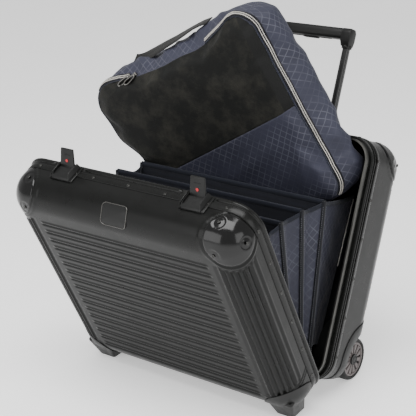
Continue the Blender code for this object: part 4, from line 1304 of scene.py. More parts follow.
def tape_over_edge(name, points, normals, width, thick, matrix, material, body):
    """Binding tape folded over an edge: a rounded bar swept along the edge's points."""
    sections = []
    for i, point in enumerate(points):
        p = Vector(point)
        ahead = Vector(points[min(i + 1, len(points) - 1)]) - Vector(points[max(i - 1, 0)])
        ahead.normalize()
        out = Vector(normals[i]).normalized()
        side = ahead.cross(out).normalized()
        ring = []
        for k in range(12):
            turn = 2.0 * math.pi * k / 12
            c, s = math.cos(turn), math.sin(turn)
            squared = (abs(c) ** 0.6 * math.copysign(1, c), abs(s) ** 0.6 * math.copysign(1, s))
            ring.append(tuple(p + out * (width * squared[0]) + side * (thick * squared[1])))
        sections.append(ring)
    verts, faces = sweep(sections, False)
    obj = make_object(name, verts, faces, matrix, material, None, None, 60.0)
    settle(obj, 60.0)
    if body:
        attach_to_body(obj, body)
    return obj


def stitch_row(name, points, matrix, body, pitch=0.0034, radius=0.00028):
    """A row of short thread stitches along a polyline."""
    bm = bmesh.new()
    total, at = 0.0, []
    for p, q in zip(points, points[1:]):
        at.append(total)
        total += math.dist(p, q)
    at.append(total)

    def along(s):
        for k in range(len(points) - 1):
            if s <= at[k + 1] or k == len(points) - 2:
                t = (s - at[k]) / max(1e-9, at[k + 1] - at[k])
                return Vector(points[k]).lerp(Vector(points[k + 1]), t)

    count = int(total / pitch)
    for i in range(count):
        start, end = along(i * pitch + 0.0004), along(i * pitch + pitch * 0.68)
        ahead = (end - start).normalized()
        frame_of = ahead.to_track_quat("Z", "Y").to_matrix()
        rings = []
        for t, r in ((0.0, 0.3), (0.2, 1.0), (0.8, 1.0), (1.0, 0.3)):
            centre = start.lerp(end, t)
            ring = []
            for k in range(5):
                turn = 2.0 * math.pi * k / 5
                out = frame_of @ Vector((math.cos(turn), math.sin(turn), 0.0))
                ring.append(bm.verts.new(centre + out * radius * r))
            rings.append(ring)
        for a, b in zip(rings, rings[1:]):
            for k in range(5):
                n = (k + 1) % 5
                bm.faces.new((a[k], a[n], b[n], b[k]))
    bmesh.ops.recalc_face_normals(bm, faces=bm.faces)
    return from_bmesh(name, bm, matrix, THREAD, body, 60.0)


def make_file():
    for index, (node, body, y, height, angle) in enumerate(DIVIDERS):
        axes = board_axes(y, angle)
        make_board(node + "_fabric", node, body, axes, BOARD_HALF, height, 3.0 + index)
        count = 24
        top = [(-BOARD_HALF + 2 * BOARD_HALF * i / count, 0.0, height - 0.0030) for i in range(count + 1)]
        up = [(0, 0, 1)] * len(top)
        tape_over_edge(
            f"{node}_top_binding", top, up, 0.0042, 0.0019, axes, BINDING, body
        )
        for label, side in (("left", -1), ("right", 1)):
            x = side * (BOARD_HALF + 0.0004)
            edge = [(x, 0.0, 0.006 + (height - 0.007) * i / 16) for i in range(17)]
            tape_over_edge(
                f"{node}_strip_{label}", edge, [(side, 0, 0)] * 17, 0.0020, 0.0042, axes,
                STRIP_BLACK, body,
            )
            line = [(x + side * 0.0018, -0.0046, 0.012 + (height - 0.020) * i / 8) for i in range(9)]
            stitch_row(f"{node}_stitches_{label}", line, axes, body)
            line = [(px, 0.0043, pz) for px, _, pz in line]
            stitch_row(f"{node}_stitches_{label}_back", line, axes, body)
    axes = board_axes(PANEL_Y, PANEL_LEAN)
    height = PANEL_TOP - PIVOT_Z
    shifted = axes @ Matrix.Translation((0.0, BOARD_THICK / 2.0, 0.0))
    make_board("file_rear_panel_fabric", "file_rear_panel", "root", shifted, PANEL_HALF, height, 9.0)
    top = [(-PANEL_HALF + 2 * PANEL_HALF * i / 24, 0.0, height - 0.0030) for i in range(25)]
    tape_over_edge(
        "file_rear_panel_binding", top, [(0, 0, 1)] * 25, 0.0042, 0.0020, shifted,
        BINDING, "root",
    )
    put_material(bpy.data.objects["file_base"], NAVY)


def make_panel_zip():
    """The short double zip at the right end of the file's rear panel."""
    axes = board_axes(PANEL_Y, PANEL_LEAN)
    out = (axes.to_3x3() @ Vector((0.75, -0.66, 0.0))).normalized()
    path = [axes @ Vector((PANEL_HALF + 0.0035, -0.0020, 0.168 + 0.010 * k)) for k in range(12)]
    tape = ribbon("panel_zip_tape", path, [out] * len(path), 0.0110, 0.0012, STRIP_BLACK)
    chain = zip_chain("panel_zip_chain", path, lambda place: out, 0.0019, 0.0009)
    for piece, slot in ((tape, "webbing"), (chain, "zip_metal")):
        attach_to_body(piece, "root")


def world_on_board(y, angle, x, z):
    return board_axes(y, angle) @ Vector((x, 0.0, z))


GUSSET = lattice_fabric(
    "gusset_lattice", (0.0230, 0.0240, 0.0370), (0.060, 0.061, 0.078), 0.0150, "cloth", 0.9
).material


def gusset_sheet(
    name, side, back, front, top_back, top_front, low, sag, fold, body,
    blend=None, narrow=0.0,
):
    """A fabric web between two boards' ends, folded inwards in the middle, its top edge sagging."""
    columns, rows = 22, 46
    verts, faces, cloth = [], [], []
    for i in range(columns + 1):
        t = i / columns
        for j in range(rows + 1):
            h = j / rows
            a = world_on_board(*back[:2], side * BOARD_HALF, low + (top_back - low) * h)
            b = world_on_board(*front[:2], side * BOARD_HALF, low + (top_front - low) * h)
            if back[2]:
                a = world_on_board(*back[:2], side * back[2], low + (top_back - low) * h)
            p = a.lerp(b, t)
            drop = sag * math.sin(math.pi * t) * h ** 3
            belly = math.sin(math.pi * t)
            spread = (a - b).length
            inward = -side * fold * belly * min(1.0, spread / 0.030)
            wrinkle = noise.noise(Vector((t * 3.0 + 7.0 * side, h * 9.0, top_back * 31.0)))
            wrinkle2 = noise.noise(Vector((t * 7.0, h * 24.0 + t * 6.0, 4.0 + top_front * 17.0)))
            inward += side * (0.0022 * wrinkle + 0.0010 * wrinkle2) * belly
            p = p + Vector((inward, 0.0, -drop))
            p.x -= side * narrow * (1.0 - h) * t
            verts.append(tuple(p))
            cloth.append((t * max(spread, 0.01) + 0.031 * top_back, (low + (top_back - low) * h), 0.0))
    for i in range(columns):
        for j in range(rows):
            a = i * (rows + 1) + j
            faces.append((a, a + rows + 1, a + rows + 2, a + 1))
    obj = make_object(name, verts, faces, None, GUSSET, None, None, 80.0)
    layer = obj.data.attributes.new("cloth", "FLOAT_VECTOR", "POINT")
    layer.data.foreach_set("vector", np.array(cloth, np.float32).reshape(-1))
    solid = obj.modifiers.new("thickness", "SOLIDIFY")
    solid.thickness = 0.0009
    solid.offset = 0.0
    bake_modifiers(obj, 80.0)
    edge = [Vector(verts[i * (rows + 1) + rows]) for i in range(columns + 1)]
    binding = tape_over_edge(
        name + "_binding", edge, [(0, 0, 1)] * len(edge), 0.0036, 0.0013, None, BINDING, None
    )
    for piece in (obj, binding):
        if blend:
            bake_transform(piece)
        else:
            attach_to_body(piece, body)
    return obj, binding


def make_gussets():
    front, middle, rear = [(y, angle, 0.0) for _, _, y, _, angle in DIVIDERS]
    panel = (PANEL_Y + 0.0013, PANEL_LEAN, 0.160)
    for label, side in (("left", -1), ("right", 1)):
        x = side * BOARD_HALF
        pairs = (
            ("rear", panel, rear, 0.280, 0.266, "root", "divider_rear_board", 0.003, 0.001,
             ["file_rear_panel_fabric", "divider_rear_fabric"]),
            ("middle", rear, middle, 0.266, 0.258, "divider_rear_board", "divider_middle_board", 0.006, 0.009,
             ["divider_rear_fabric", "divider_middle_fabric"]),
            ("front", middle, front, 0.258, 0.251, "divider_middle_board", "divider_front_board", 0.006, 0.009,
             ["divider_middle_fabric", "divider_front_fabric"]),
        )
        first = None
        for part, back, ahead, top_back, top_ahead, body_a, body_b, sag, fold, boards in pairs:
            low = 0.014 if part != "rear" else 0.040
            start = world_on_board(back[0], back[1], x, 0.16)
            end = world_on_board(ahead[0], ahead[1], x, 0.16)
            made = gusset_sheet(
                f"gusset_{part}_{label}", side, back, ahead, top_back, top_ahead, low, sag, fold,
                None, (body_a, body_b, tuple(start), tuple(end)),
            )
            first = first or made[0]
        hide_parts(f"file_gusset_{label}")
        make_front_flap(label, side)


def make_front_flap(label, side):
    """The web from the front divider to the lid, narrowing inwards towards the bottom."""
    _, body, y, _, angle = DIVIDERS[0]
    ahead = (y - 0.020, angle + 5.0, 0.0)
    made = gusset_sheet(
        f"gusset_lid_{label}", side, (y, angle, 0.0), ahead, 0.251, 0.236, 0.014, 0.004, 0.006,
        body, None, 0.020,
    )
    for piece in made:
        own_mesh(piece)


# ---------------------------------------------------------------- pouch
POUCH_CORNER = Vector((0.050, -0.203, 0.529))
E1 = Vector((-0.899, 0.160, -0.407)).normalized()
E2 = Vector((0.421, 0.568, -0.707))
E2 = (E2 - E1 * E1.dot(E2)).normalized()
E3 = Vector((-0.118, 0.807, 0.578)).normalized()
POUCH = CASE @ Matrix.Translation(POUCH_CORNER) @ Matrix((
    (E1.x, E2.x, E3.x, 0.0), (E1.y, E2.y, E3.y, 0.0), (E1.z, E2.z, E3.z, 0.0), (0.0, 0.0, 0.0, 1.0),
))
POUCH_WIDE, POUCH_LONG, POUCH_THICK = 0.338, 0.345, 0.075
POUCH_A0 = -0.002


def pouch_material():
    mat = lattice_fabric("pouch_fabric", (0.0250, 0.0262, 0.0410), (0.062, 0.063, 0.082), 0.0142, "cloth")
    node = mat.add("ShaderNodeAttribute", attribute_name="rest")
    split = mat.add("ShaderNodeSeparateXYZ")
    mat.link(node.outputs["Vector"], split.inputs[0])
    a, b, c = split.outputs
    seam = mat.math("ADD", mat.math("MULTIPLY", a, 0.085), 0.1735)
    above = mat.math("LESS_THAN", b, seam)
    front = mat.math("LESS_THAN", c, 0.0060)
    panel = mat.math("MULTIPLY", above, front)
    cells = []
    for source in (a, b):
        wave = mat.math("FRACT", mat.math("DIVIDE", source, 0.0021))
        cells.append(mat.span(mat.math("ABSOLUTE", mat.math("SUBTRACT", wave, 0.5)), 0.08, 0.34))
    threads = mat.math("MAXIMUM", cells[0], cells[1])
    # The olive-grey colour on the mesh threads, where the noise is high, is a painted glint: light catching the
    # threads, painted into the base colour.
    painted_glint = mat.math("MULTIPLY", threads, mat.span(mat.noise(26.0, 5.0, 0.7), 0.46, 0.70))
    border = mat.math("LESS_THAN", a, 0.017)
    mesh_tone = mat.mix(painted_glint, (0.0042, 0.0046, 0.0040), (0.0230, 0.0220, 0.0175))
    mesh_tone = mat.mix(border, mesh_tone, (0.0060, 0.0063, 0.0060))
    old = mat.shader.inputs["Base Color"].links[0].from_socket
    mat.color(mat.mix(panel, old, mesh_tone))
    rough_old = mat.shader.inputs["Roughness"].links[0].from_socket
    blend = mat.add("ShaderNodeMix", data_type="FLOAT")
    mat.link(panel, blend.inputs["Factor"])
    mat.link(rough_old, blend.inputs[2])
    blend.inputs[3].default_value = 0.85
    mat.rough(blend.outputs[0])
    mat.shader.inputs["Sheen Weight"].default_value = 0.05
    hem = mat.span(mat.math("ABSOLUTE", mat.math("SUBTRACT", b, seam)), 0.0, 0.0022, 0.0, 1.0)
    mat.bump(mat.math("MULTIPLY", hem, front), 0.0016, 0.6)
    mat.bump(mat.math("MULTIPLY", threads, panel), 0.0003, 0.5)
    return mat.material


def pouch_outline(steps=8):
    """Points round the pouch's panels, from the low left corner, over the right and the top."""
    outline = []
    for cx, cy, start, r in (
        (POUCH_WIDE, POUCH_LONG, 0.0, 0.045), (POUCH_A0, POUCH_LONG, 90.0, 0.040),
        (POUCH_A0, 0.0, 180.0, 0.036), (POUCH_WIDE, 0.0, 270.0, 0.050),
    ):
        cx += -r if cx > 0.1 else r
        cy += -r if cy > 0.1 else r
        for i in range(steps + 1):
            turn = math.radians(start + 90.0 * i / steps)
            outline.append((cx + r * math.cos(turn), cy + r * math.sin(turn)))
    return outline


# How far the slack edges leave the rounded rectangle: (where along the edge, how far).
TOP_SAG_FRONT = (
    (-0.01, 0.000), (0.023, 0.000), (0.042, 0.008), (0.070, 0.016), (0.092, 0.024), (0.114, 0.027),
    (0.145, 0.0245), (0.180, 0.0265), (0.220, 0.0255), (0.246, 0.0236), (0.289, 0.0156),
    (0.315, 0.006), (0.340, 0.002),
)
TOP_SAG_BACK = (
    (-0.01, 0.001), (0.020, 0.004), (0.060, 0.005), (0.200, 0.012), (0.290, 0.012), (0.340, 0.004),
)
RIGHT_EDGE = (
    (0.000, -0.0090), (0.035, -0.0100), (0.055, -0.0095), (0.098, -0.0070), (0.146, -0.0055),
    (0.180, -0.0030), (0.220, -0.0035), (0.260, -0.0010), (0.297, 0.0020), (0.326, 0.0010), (0.345, 0.0),
)
LEFT_EDGE = (
    (0.000, 0.018), (0.026, 0.023), (0.045, 0.026), (0.077, 0.0275), (0.116, 0.0275),
    (0.143, 0.0275), (0.165, 0.025), (0.200, 0.016), (0.345, -0.010),
)


def along_table(table, values):
    return np.interp(values, [row[0] for row in table], [row[1] for row in table])


def slacken(rest, points):
    """Moves the inflated pouch's edges to where the slack fabric hangs."""
    a, b, c = rest[:, 0], rest[:, 1], rest[:, 2]
    back = np.clip(c / 0.035, 0.0, 1.0)
    back = back * back * (3.0 - 2.0 * back)
    sag = along_table(TOP_SAG_FRONT, a) * (1.0 - back) + along_table(TOP_SAG_BACK, a) * back
    moved = points.copy()
    moved[:, 1] += sag * np.clip(1.0 - b / 0.17, 0.0, 1.0) ** 1.5
    right = np.clip(1.0 - a / 0.12, 0.0, 1.0) ** 2
    moved[:, 0] += along_table(RIGHT_EDGE, b) * right
    swollen = np.sin(np.pi * np.clip((c - 0.012) / (POUCH_THICK - 0.012), 0.0, 1.0))
    bulge = 0.021 + 0.035 * np.clip(b - 0.10, 0.0, 0.25)
    moved[:, 0] -= bulge * swollen * right * np.clip(b / 0.03, 0.0, 1.0)
    low_fade, high_fade = np.clip((0.250 - b) / 0.06, 0.0, 1.0), np.clip((b - 0.04) / 0.08, 0.0, 1.0)
    moved[:, 2] += 0.011 * back * right * low_fade * high_fade
    moved[:, 0] += along_table(LEFT_EDGE, b) * np.clip(a / POUCH_WIDE, 0.0, 1.0) ** 3
    # Stowed, the slack side stays inside the rear shell.
    over = np.maximum(-0.019 - moved[:, 0], 0.0)
    moved[:, 0] = np.where(over > 0.0, -0.019 - 0.006 * np.tanh(over / 0.006), moved[:, 0])
    return moved


def pouch_form():
    """The slack pouch: a rounded rectangle with soft rims, in pouch axes."""
    outline = pouch_outline()
    bm = bmesh.new()
    low = [bm.verts.new((x, y, 0.004)) for x, y in outline]
    high = [bm.verts.new((x, y, POUCH_THICK - 0.004)) for x, y in outline]
    count = len(outline)
    bottom = bm.faces.new(list(reversed(low)))
    top = bm.faces.new(high)
    for k in range(count):
        n = (k + 1) % count
        bm.faces.new((low[k], low[n], high[n], high[k]))
    rims = [e for e in bm.edges if len({f in (bottom, top) for f in e.link_faces}) == 2]
    bmesh.ops.bevel(bm, geom=rims, offset=0.007, segments=3, affect="EDGES", profile=0.5)
    bmesh.ops.recalc_face_normals(bm, faces=bm.faces)
    return from_bmesh("pouch", bm, None, None, None)


def swell(obj, cap, steps=20):
    """Blender's Cloth with pressure, applied, no point moving further than cap."""
    before = np.zeros(len(obj.data.vertices) * 3, np.float32)
    obj.data.vertices.foreach_get("co", before)
    cloth = obj.modifiers.new("cloth", "CLOTH")
    cloth.settings.quality = 6
    cloth.settings.use_pressure = True
    cloth.settings.uniform_pressure_force = 4.0
    cloth.settings.effector_weights.gravity = 0.0
    cloth.settings.mass = 0.3
    cloth.settings.tension_stiffness = 25.0
    cloth.settings.compression_stiffness = 12.0
    cloth.settings.bending_stiffness = 0.3
    scene = bpy.context.scene
    for number in range(1, steps + 1):
        scene.frame_set(number)
    graph = bpy.context.evaluated_depsgraph_get()
    after = np.zeros_like(before)
    obj.evaluated_get(graph).data.vertices.foreach_get("co", after)
    obj.modifiers.remove(cloth)
    scene.frame_set(1)
    before, after = before.reshape(-1, 3), after.reshape(-1, 3)
    move = after - before
    length = np.linalg.norm(move, axis=1)
    move *= np.minimum(1.0, cap / np.maximum(length, 1e-9))[:, None]
    obj.data.vertices.foreach_set("co", (before + move).astype(np.float32).reshape(-1))
    obj.data.update()


def fit_into_file(points):
    """Keeps the pouch's lower part between the rear divider and the rear panel (case axes)."""
    x, y, z = points[:, 0].copy(), points[:, 1].copy(), points[:, 2].copy()
    top_front = PIVOT_Z + 0.272 * math.cos(math.radians(12.3)) + 0.004
    front = -(z - PIVOT_Z) * math.tan(math.radians(12.3)) + 0.0045
    grip = np.clip((top_front + 0.004 - z) / 0.004, 0.0, 1.0)
    y = y + grip * (np.maximum(y, front) - y)
    back = PANEL_Y + (z - PIVOT_Z) * math.tan(math.radians(2.4)) - 0.0030
    hold = np.clip((PANEL_TOP + 0.004 - z) / 0.004, 0.0, 1.0)
    y = y + hold * (np.minimum(y, back) - y)
    side = np.clip((0.305 - z) / 0.02, 0.0, 1.0)
    x = x + side * (np.clip(x, -0.1745, 0.1745) - x)
    rim = np.clip((z - 0.350) / 0.020, 0.0, 1.0)
    limit = 0.060 + (-0.0175 - 0.060) * rim * rim * (3.0 - 2.0 * rim)
    y = np.where(z > 0.350, np.minimum(y, limit), y)
    return np.stack([x, y, z], 1)


def pouch_wrinkles(rest, points, normals):
    """Listed folds: the slack top edge, pulls at the zip's foot, gathers down the side."""
    a, b, c = rest[:, 0], rest[:, 1], rest[:, 2]
    lift = np.zeros(len(a))
    away = np.clip((c - 0.016) / 0.014, 0.0, 1.0)
    side = np.clip(1.0 - a / 0.012, 0.0, 1.0) * away
    for at, tilt, half, depth in (
        (0.205, 0.9, 0.010, 0.0040), (0.232, 1.2, 0.008, -0.0030), (0.262, 0.7, 0.012, 0.0042),
        (0.285, 0.5, 0.009, -0.0035), (0.120, -0.6, 0.012, 0.0022), (0.065, 0.8, 0.012, 0.0026),
        (0.305, 0.2, 0.009, 0.0035),
    ):
        lift += side * depth * bump_up(b - at - tilt * (c - 0.04), half)
    top = np.clip(1.0 - b / 0.012, 0.0, 1.0) * away
    for at, tilt, half, depth in (
        (0.060, 0.5, 0.010, 0.0030), (0.118, -0.8, 0.012, -0.0040), (0.160, 0.9, 0.012, 0.0036),
        (0.205, -0.7, 0.010, -0.0030), (0.248, 0.8, 0.012, 0.0042), (0.290, -0.4, 0.010, 0.0025),
    ):
        lift += top * depth * bump_up(a - at - tilt * (c - 0.04), half)
    inner = np.minimum(np.minimum(a, POUCH_WIDE - a), b)
    front = np.clip(1.0 - c / 0.010, 0.0, 1.0) * np.clip((inner - 0.008) / 0.03, 0.0, 1.0)
    for a0, b0, angle, half, length, depth in (
        (0.040, 0.255, 1.15, 0.016, 0.075, 0.0035), (0.075, 0.290, 0.95, 0.014, 0.085, -0.0030),
        (0.130, 0.235, 0.25, 0.022, 0.100, 0.0030), (0.105, 0.085, -0.55, 0.030, 0.110, 0.0032),
        (0.225, 0.120, -0.35, 0.035, 0.110, -0.0030), (0.060, 0.130, 0.50, 0.020, 0.060, -0.0022),
    ):
        u = (a - a0) * math.cos(angle) + (b - b0) * math.sin(angle)
        v = -(a - a0) * math.sin(angle) + (b - b0) * math.cos(angle)
        lift += front * depth * bump_up(v, half) * bump_up(u, length)
    return points + normals * lift[:, None]


def vertex_normals(obj):
    values = np.zeros(len(obj.data.vertices) * 3, np.float32)
    obj.data.vertex_normals.foreach_get("vector", values)
    return values.reshape(-1, 3)


def make_pouch():
    obj = pouch_form()
    remesh = obj.modifiers.new("even", "REMESH")
    remesh.mode = "VOXEL"
    remesh.voxel_size = 0.0050
    even = obj.modifiers.new("soft", "SMOOTH")
    even.iterations = 4
    even.factor = 0.5
    bake_modifiers(obj, 80.0)
    count = len(obj.data.vertices)
    rest = np.zeros(count * 3, np.float32)
    obj.data.vertices.foreach_get("co", rest)
    rest = rest.reshape(-1, 3)
    swell(obj, 0.009)
    points = np.zeros(count * 3, np.float32)
    obj.data.vertices.foreach_get("co", points)
    points = slacken(rest, pouch_wrinkles(rest, points.reshape(-1, 3), vertex_normals(obj)))
    local = np.hstack([points, np.ones((count, 1))])
    to_case = np.array(CASE.inverted() @ POUCH)
    case_points = fit_into_file((local @ to_case.T)[:, :3])
    world = np.hstack([case_points, np.ones((count, 1))]) @ np.array(CASE).T
    obj.data.vertices.foreach_set("co", world[:, :3].astype(np.float32).reshape(-1))
    obj.data.flip_normals()
    flat = np.zeros((count, 3), np.float32)
    side_face = (rest[:, 2] > 0.006) & (rest[:, 2] < POUCH_THICK - 0.006)
    on_right = side_face & (rest[:, 0] < 0.012)
    on_top = side_face & (rest[:, 1] < 0.012) & ~on_right
    flat[:, 0], flat[:, 1] = rest[:, 0], rest[:, 1]
    flat[on_right, 0], flat[on_right, 1] = -1.35 * rest[on_right, 2], rest[on_right, 1]
    flat[on_top, 0], flat[on_top, 1] = rest[on_top, 0], -rest[on_top, 2]
    for name, data in (("rest", rest), ("cloth", flat)):
        layer = obj.data.attributes.new(name, "FLOAT_VECTOR", "POINT")
        layer.data.foreach_set("vector", data.astype(np.float32).reshape(-1))
    obj.data.update()
    finer = obj.modifiers.new("finer", "SUBSURF")
    finer.levels = finer.render_levels = 1
    bake_modifiers(obj, 85.0)
    obj.data.materials.clear()
    obj.data.materials.append(pouch_material())
    ride_pouch(obj)
    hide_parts("pouch_body")
    return obj


def ride_pouch(obj):
    """On the pouch's body, with a mesh of its own."""
    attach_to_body(obj, "pouch")
    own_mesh(obj)


class PouchSkin:
    """Finds where a place on the unswollen pouch has ended up."""

    def __init__(self, obj):
        mesh = obj.data
        count = len(mesh.vertices)
        rest = np.zeros(count * 3, np.float32)
        mesh.attributes["rest"].data.foreach_get("vector", rest)
        self.rest = rest.reshape(-1, 3)
        points = np.zeros(count * 3, np.float32)
        mesh.vertices.foreach_get("co", points)
        self.points = points.reshape(-1, 3)
        self.normals = vertex_normals(obj)
        bm = bmesh.new()
        bm.from_mesh(mesh)
        self.tree = BVHTree.FromBMesh(bm)
        bm.free()

    def at(self, a, b, c, lift=0.0):
        gaps = np.linalg.norm(self.rest - np.array([a, b, c], np.float32), axis=1)
        near = np.argpartition(gaps, 12)[:12]
        weight = np.exp(-((gaps[near] - gaps[near].min()) / 0.0035) ** 2)
        weight /= weight.sum()
        offset = np.array([a, b, c]) - (self.rest[near] * weight[:, None]).sum(0)
        place = (self.points[near] * weight[:, None]).sum(0) + np.array(POUCH.to_3x3()) @ offset
        normal = (self.normals[near] * weight[:, None]).sum(0)
        found, _, _, _ = self.tree.find_nearest(Vector(place))
        normal = Vector(normal).normalized()
        return found + normal * lift, normal


def smooth_path(points, per_span=8):
    """Catmull-Rom through the points."""
    made = []
    for i in range(len(points) - 1):
        p0, p1 = Vector(points[max(i - 1, 0)]), Vector(points[i])
        p2, p3 = Vector(points[i + 1]), Vector(points[min(i + 2, len(points) - 1)])
        for k in range(per_span):
            t = k / per_span
            made.append(
                0.5 * (2 * p1 + (p2 - p0) * t + (2 * p0 - 5 * p1 + 4 * p2 - p3) * t * t
                       + (3 * p1 - p0 - 3 * p2 + p3) * t ** 3)
            )
    made.append(Vector(points[-1]))
    return made


# A strip's cross-section: (share of the half width, share of the half thickness).
RIBBON_RING = (
    (-1, 0.0), (-0.9, 1.0), (-0.3, 1.0), (0.3, 1.0), (0.9, 1.0), (1, 0.0), (0.9, -1.0), (-0.9, -1.0),
)


def ribbon(name, centres, normals, width, thick, material):
    """A flat strip along centres, lying on a surface with these normals."""
    sections = []
    for i, centre in enumerate(centres):
        ahead = (centres[min(i + 1, len(centres) - 1)] - centres[max(i - 1, 0)]).normalized()
        across = ahead.cross(normals[i]).normalized()
        out = across.cross(ahead).normalized()
        ring = []
        for s, lift in RIBBON_RING:
            ring.append(tuple(centre + across * (s * width / 2) + out * (thick * 0.5 * lift)))
        sections.append(ring)
    verts, faces = sweep(sections, False)
    obj = make_object(name, verts, faces, None, material, None, None, 60.0)
    settle(obj, 60.0)
    return obj


def even_steps(path, pitch):
    """Points and directions every pitch along a path."""
    made, left = [], 0.0
    for p, q in zip(path, path[1:]):
        length = (q - p).length
        at = left
        while at < length:
            made.append((p.lerp(q, at / length), (q - p).normalized()))
            at += pitch
        left = at - length
    return made


def zip_chain(name, path, normals_at, half_gap, skin_lift, width=0.0015):
    """Two rows of small teeth either side of a path."""
    bm = bmesh.new()
    for place, ahead in even_steps(path, 0.0017):
        normal = normals_at(place)
        across = ahead.cross(normal).normalized()
        out = across.cross(ahead).normalized()
        for side in (-1, 1):
            centre = place + across * (side * half_gap) + out * skin_lift
            corners = []
            for i, j, k in BOX_CORNERS:
                top = 0.75 if k > 0 else 1.0
                corners.append(bm.verts.new(
                    centre + ahead * (i * 0.00066 * top) + across * (j * width / 2 * top) + out * (k * 0.0007)
                ))
            for face in ((3, 2, 1, 0), (4, 5, 6, 7), (0, 1, 5, 4), (1, 2, 6, 5), (2, 3, 7, 6), (3, 0, 4, 7)):
                bm.faces.new([corners[m] for m in face])
    bmesh.ops.recalc_face_normals(bm, faces=bm.faces)
    return from_bmesh(name, bm, None, ZIP_COIL, None, 60.0)


def attach(obj):
    ride_pouch(obj)


# Bottom four, then top four, each once round.
BOX_CORNERS = [(i, j, k) for k in (-1, 1) for i, j in ((-1, -1), (1, -1), (1, 1), (-1, 1))]


def edge_path(first, last, c):
    """Rest coordinates along the outline between two of its points, at one depth."""
    outline = pouch_outline()
    picked = outline[first:last + 1]
    made = []
    for (x0, y0), (x1, y1) in zip(picked, picked[1:]):
        pieces = max(1, round(math.dist((x0, y0), (x1, y1)) / 0.012))
        for k in range(pieces):
            made.append((x0 + (x1 - x0) * k / pieces, y0 + (y1 - y0) * k / pieces, c))
    made.append((*picked[-1], c))
    return made


def on_skin(skin, coords, lift):
    found = [skin.at(*place) for place in coords]
    centres = smooth_path([p for p, _ in found], 4)
    normals = smooth_path([n for _, n in found], 4)
    normals = [n.normalized() for n in normals]
    return [p + n * lift for p, n in zip(centres, normals)], normals


def zip_run(skin, label, coords, half_gap):
    centres, normals = on_skin(skin, coords, 0.0010)
    attach(ribbon(f"zip_tape_{label}", centres, normals, 0.0115, 0.0016, STRIP_BLACK))
    teeth = [p + n * 0.0010 for p, n in zip(centres, normals)]
    lookup = list(zip(teeth, normals))

    def normal_at(place):
        return min(lookup, key=lambda item: (item[0] - place).length_squared)[1]

    attach(zip_chain(f"zip_chain_{label}", teeth, normal_at, half_gap, 0.0002))


def make_pouch_trim(pouch):
    skin = PouchSkin(pouch)
    top_right = [(a, 0.0, 0.011) for a in (0.090, 0.078, 0.066, 0.054, 0.044)]
    corner = list(reversed(edge_path(18, 26, 0.011)))
    down = [(POUCH_A0, 0.050 + 0.012 * k, 0.011) for k in range(22)]
    foot = list(reversed(edge_path(12, 17, 0.011)))
    zip_run(skin, "right", top_right + corner + down + foot, 0.00165)
    left = [(0.262 + 0.006 * k, 0.0, 0.011) for k in range(5)] + edge_path(28, 31, 0.011)
    zip_run(skin, "left", left, 0.0016)
    centres, _ = on_skin(skin, [(x, y, 0.0050) for x, y, _ in top_right + corner + down], 0.0006)
    points = [tuple(p) for p in centres[::4]]
    piping = tube_object("pouch_piping_right", points, 0.0011, None, PIPING, None, 2)
    attach(piping)
    around = [(0.262 + 0.006 * k, 0.0, 0.005) for k in range(5)] + edge_path(28, 35, 0.005)
    around += [(POUCH_WIDE, 0.056 + 0.012 * k, 0.005) for k in range(16)]
    centres, _ = on_skin(skin, around, 0.0006)
    points = [tuple(p) for p in centres[::4]]
    piping = tube_object("pouch_piping_left", points, 0.0012, None, PIPING, None, 2)
    attach(piping)
    make_pulls(skin)
    make_strap(skin)


def make_pulls(skin):
    """Two zip sliders with teardrop pulls lying down over the front."""
    for index, a in enumerate((0.259, 0.247)):
        place, normal = skin.at(a, 0.0, 0.009, 0.0018)
        ahead = CASE.to_3x3() @ (E1 * 0.90 + E2 * 0.42 - E3 * 0.10)
        ahead = (ahead - normal * ahead.dot(normal) * 0.6).normalized()
        across = ahead.cross(-(CASE.to_3x3() @ E3)).normalized()
        out = across.cross(ahead).normalized()
        axes = Matrix((
            (across.x, ahead.x, out.x, place.x), (across.y, ahead.y, out.y, place.y),
            (across.z, ahead.z, out.z, place.z), (0, 0, 0, 1),
        ))
        label = "ab"[index]
        body = from_bmesh(
            f"zip_slider_{label}", box_bmesh((-0.0033, -0.0040, -0.0010), (0.0033, 0.0030, 0.0030), 0.0009),
            axes, NICKEL, None, 40.0,
        )
        attach(body)
        loop = [(0.0, -0.0005, 0.0044), (0.0020, 0.002, 0.0048), (0.0027, 0.011, 0.0046), (0.0036, 0.020, 0.0040),
                (0.0, 0.0265, 0.0036), (-0.0036, 0.020, 0.0040), (-0.0027, 0.011, 0.0046), (-0.0020, 0.002, 0.0048)]
        pull = tube_object(f"zip_pull_{label}_ring", loop, 0.0016, axes, NICKEL, None, 6, True)
        attach(pull)
        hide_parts(f"zip_pull_{label}")


def make_strap(skin):
    """The webbing carry loop on the top side, flat ends sewn down."""
    depth = 0.040
    foot_left, _ = skin.at(0.258, 0.0, depth, 0.0012)
    foot_right, _ = skin.at(0.084, 0.0, depth, 0.0012)
    rise = [
        (0.2560, 0.0285), (0.2470, 0.0225), (0.2380, 0.0180), (0.2270, 0.0150), (0.2150, 0.0132),
        (0.1900, 0.0112), (0.1660, 0.0098), (0.1400, 0.0076), (0.1200, 0.0062), (0.1030, 0.0066),
        (0.0880, 0.0090),
    ]
    centres = smooth_path([tuple(POUCH @ Vector((a, b, depth))) for a, b in rise], 6)
    start, end = foot_left - centres[0], foot_right - centres[-1]
    count = len(centres) - 1
    centres = [p + start * (1 - i / count) ** 8 + end * (i / count) ** 8 for i, p in enumerate(centres)]
    through = (CASE.to_3x3() @ E3).normalized()
    normals = []
    for i in range(len(centres)):
        ahead = (centres[min(i + 1, count)] - centres[max(i - 1, 0)]).normalized()
        turn = math.radians(50.0 - 46.0 * min(1.0, i / (0.8 * count)))
        normals.append(ahead.cross(through).normalized() * math.cos(turn) - through * math.sin(turn))
    strap = ribbon("pouch_strap_webbing", centres, normals, 0.0215, 0.0020, WEBBING)
    attach(strap)
    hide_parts("pouch_strap")


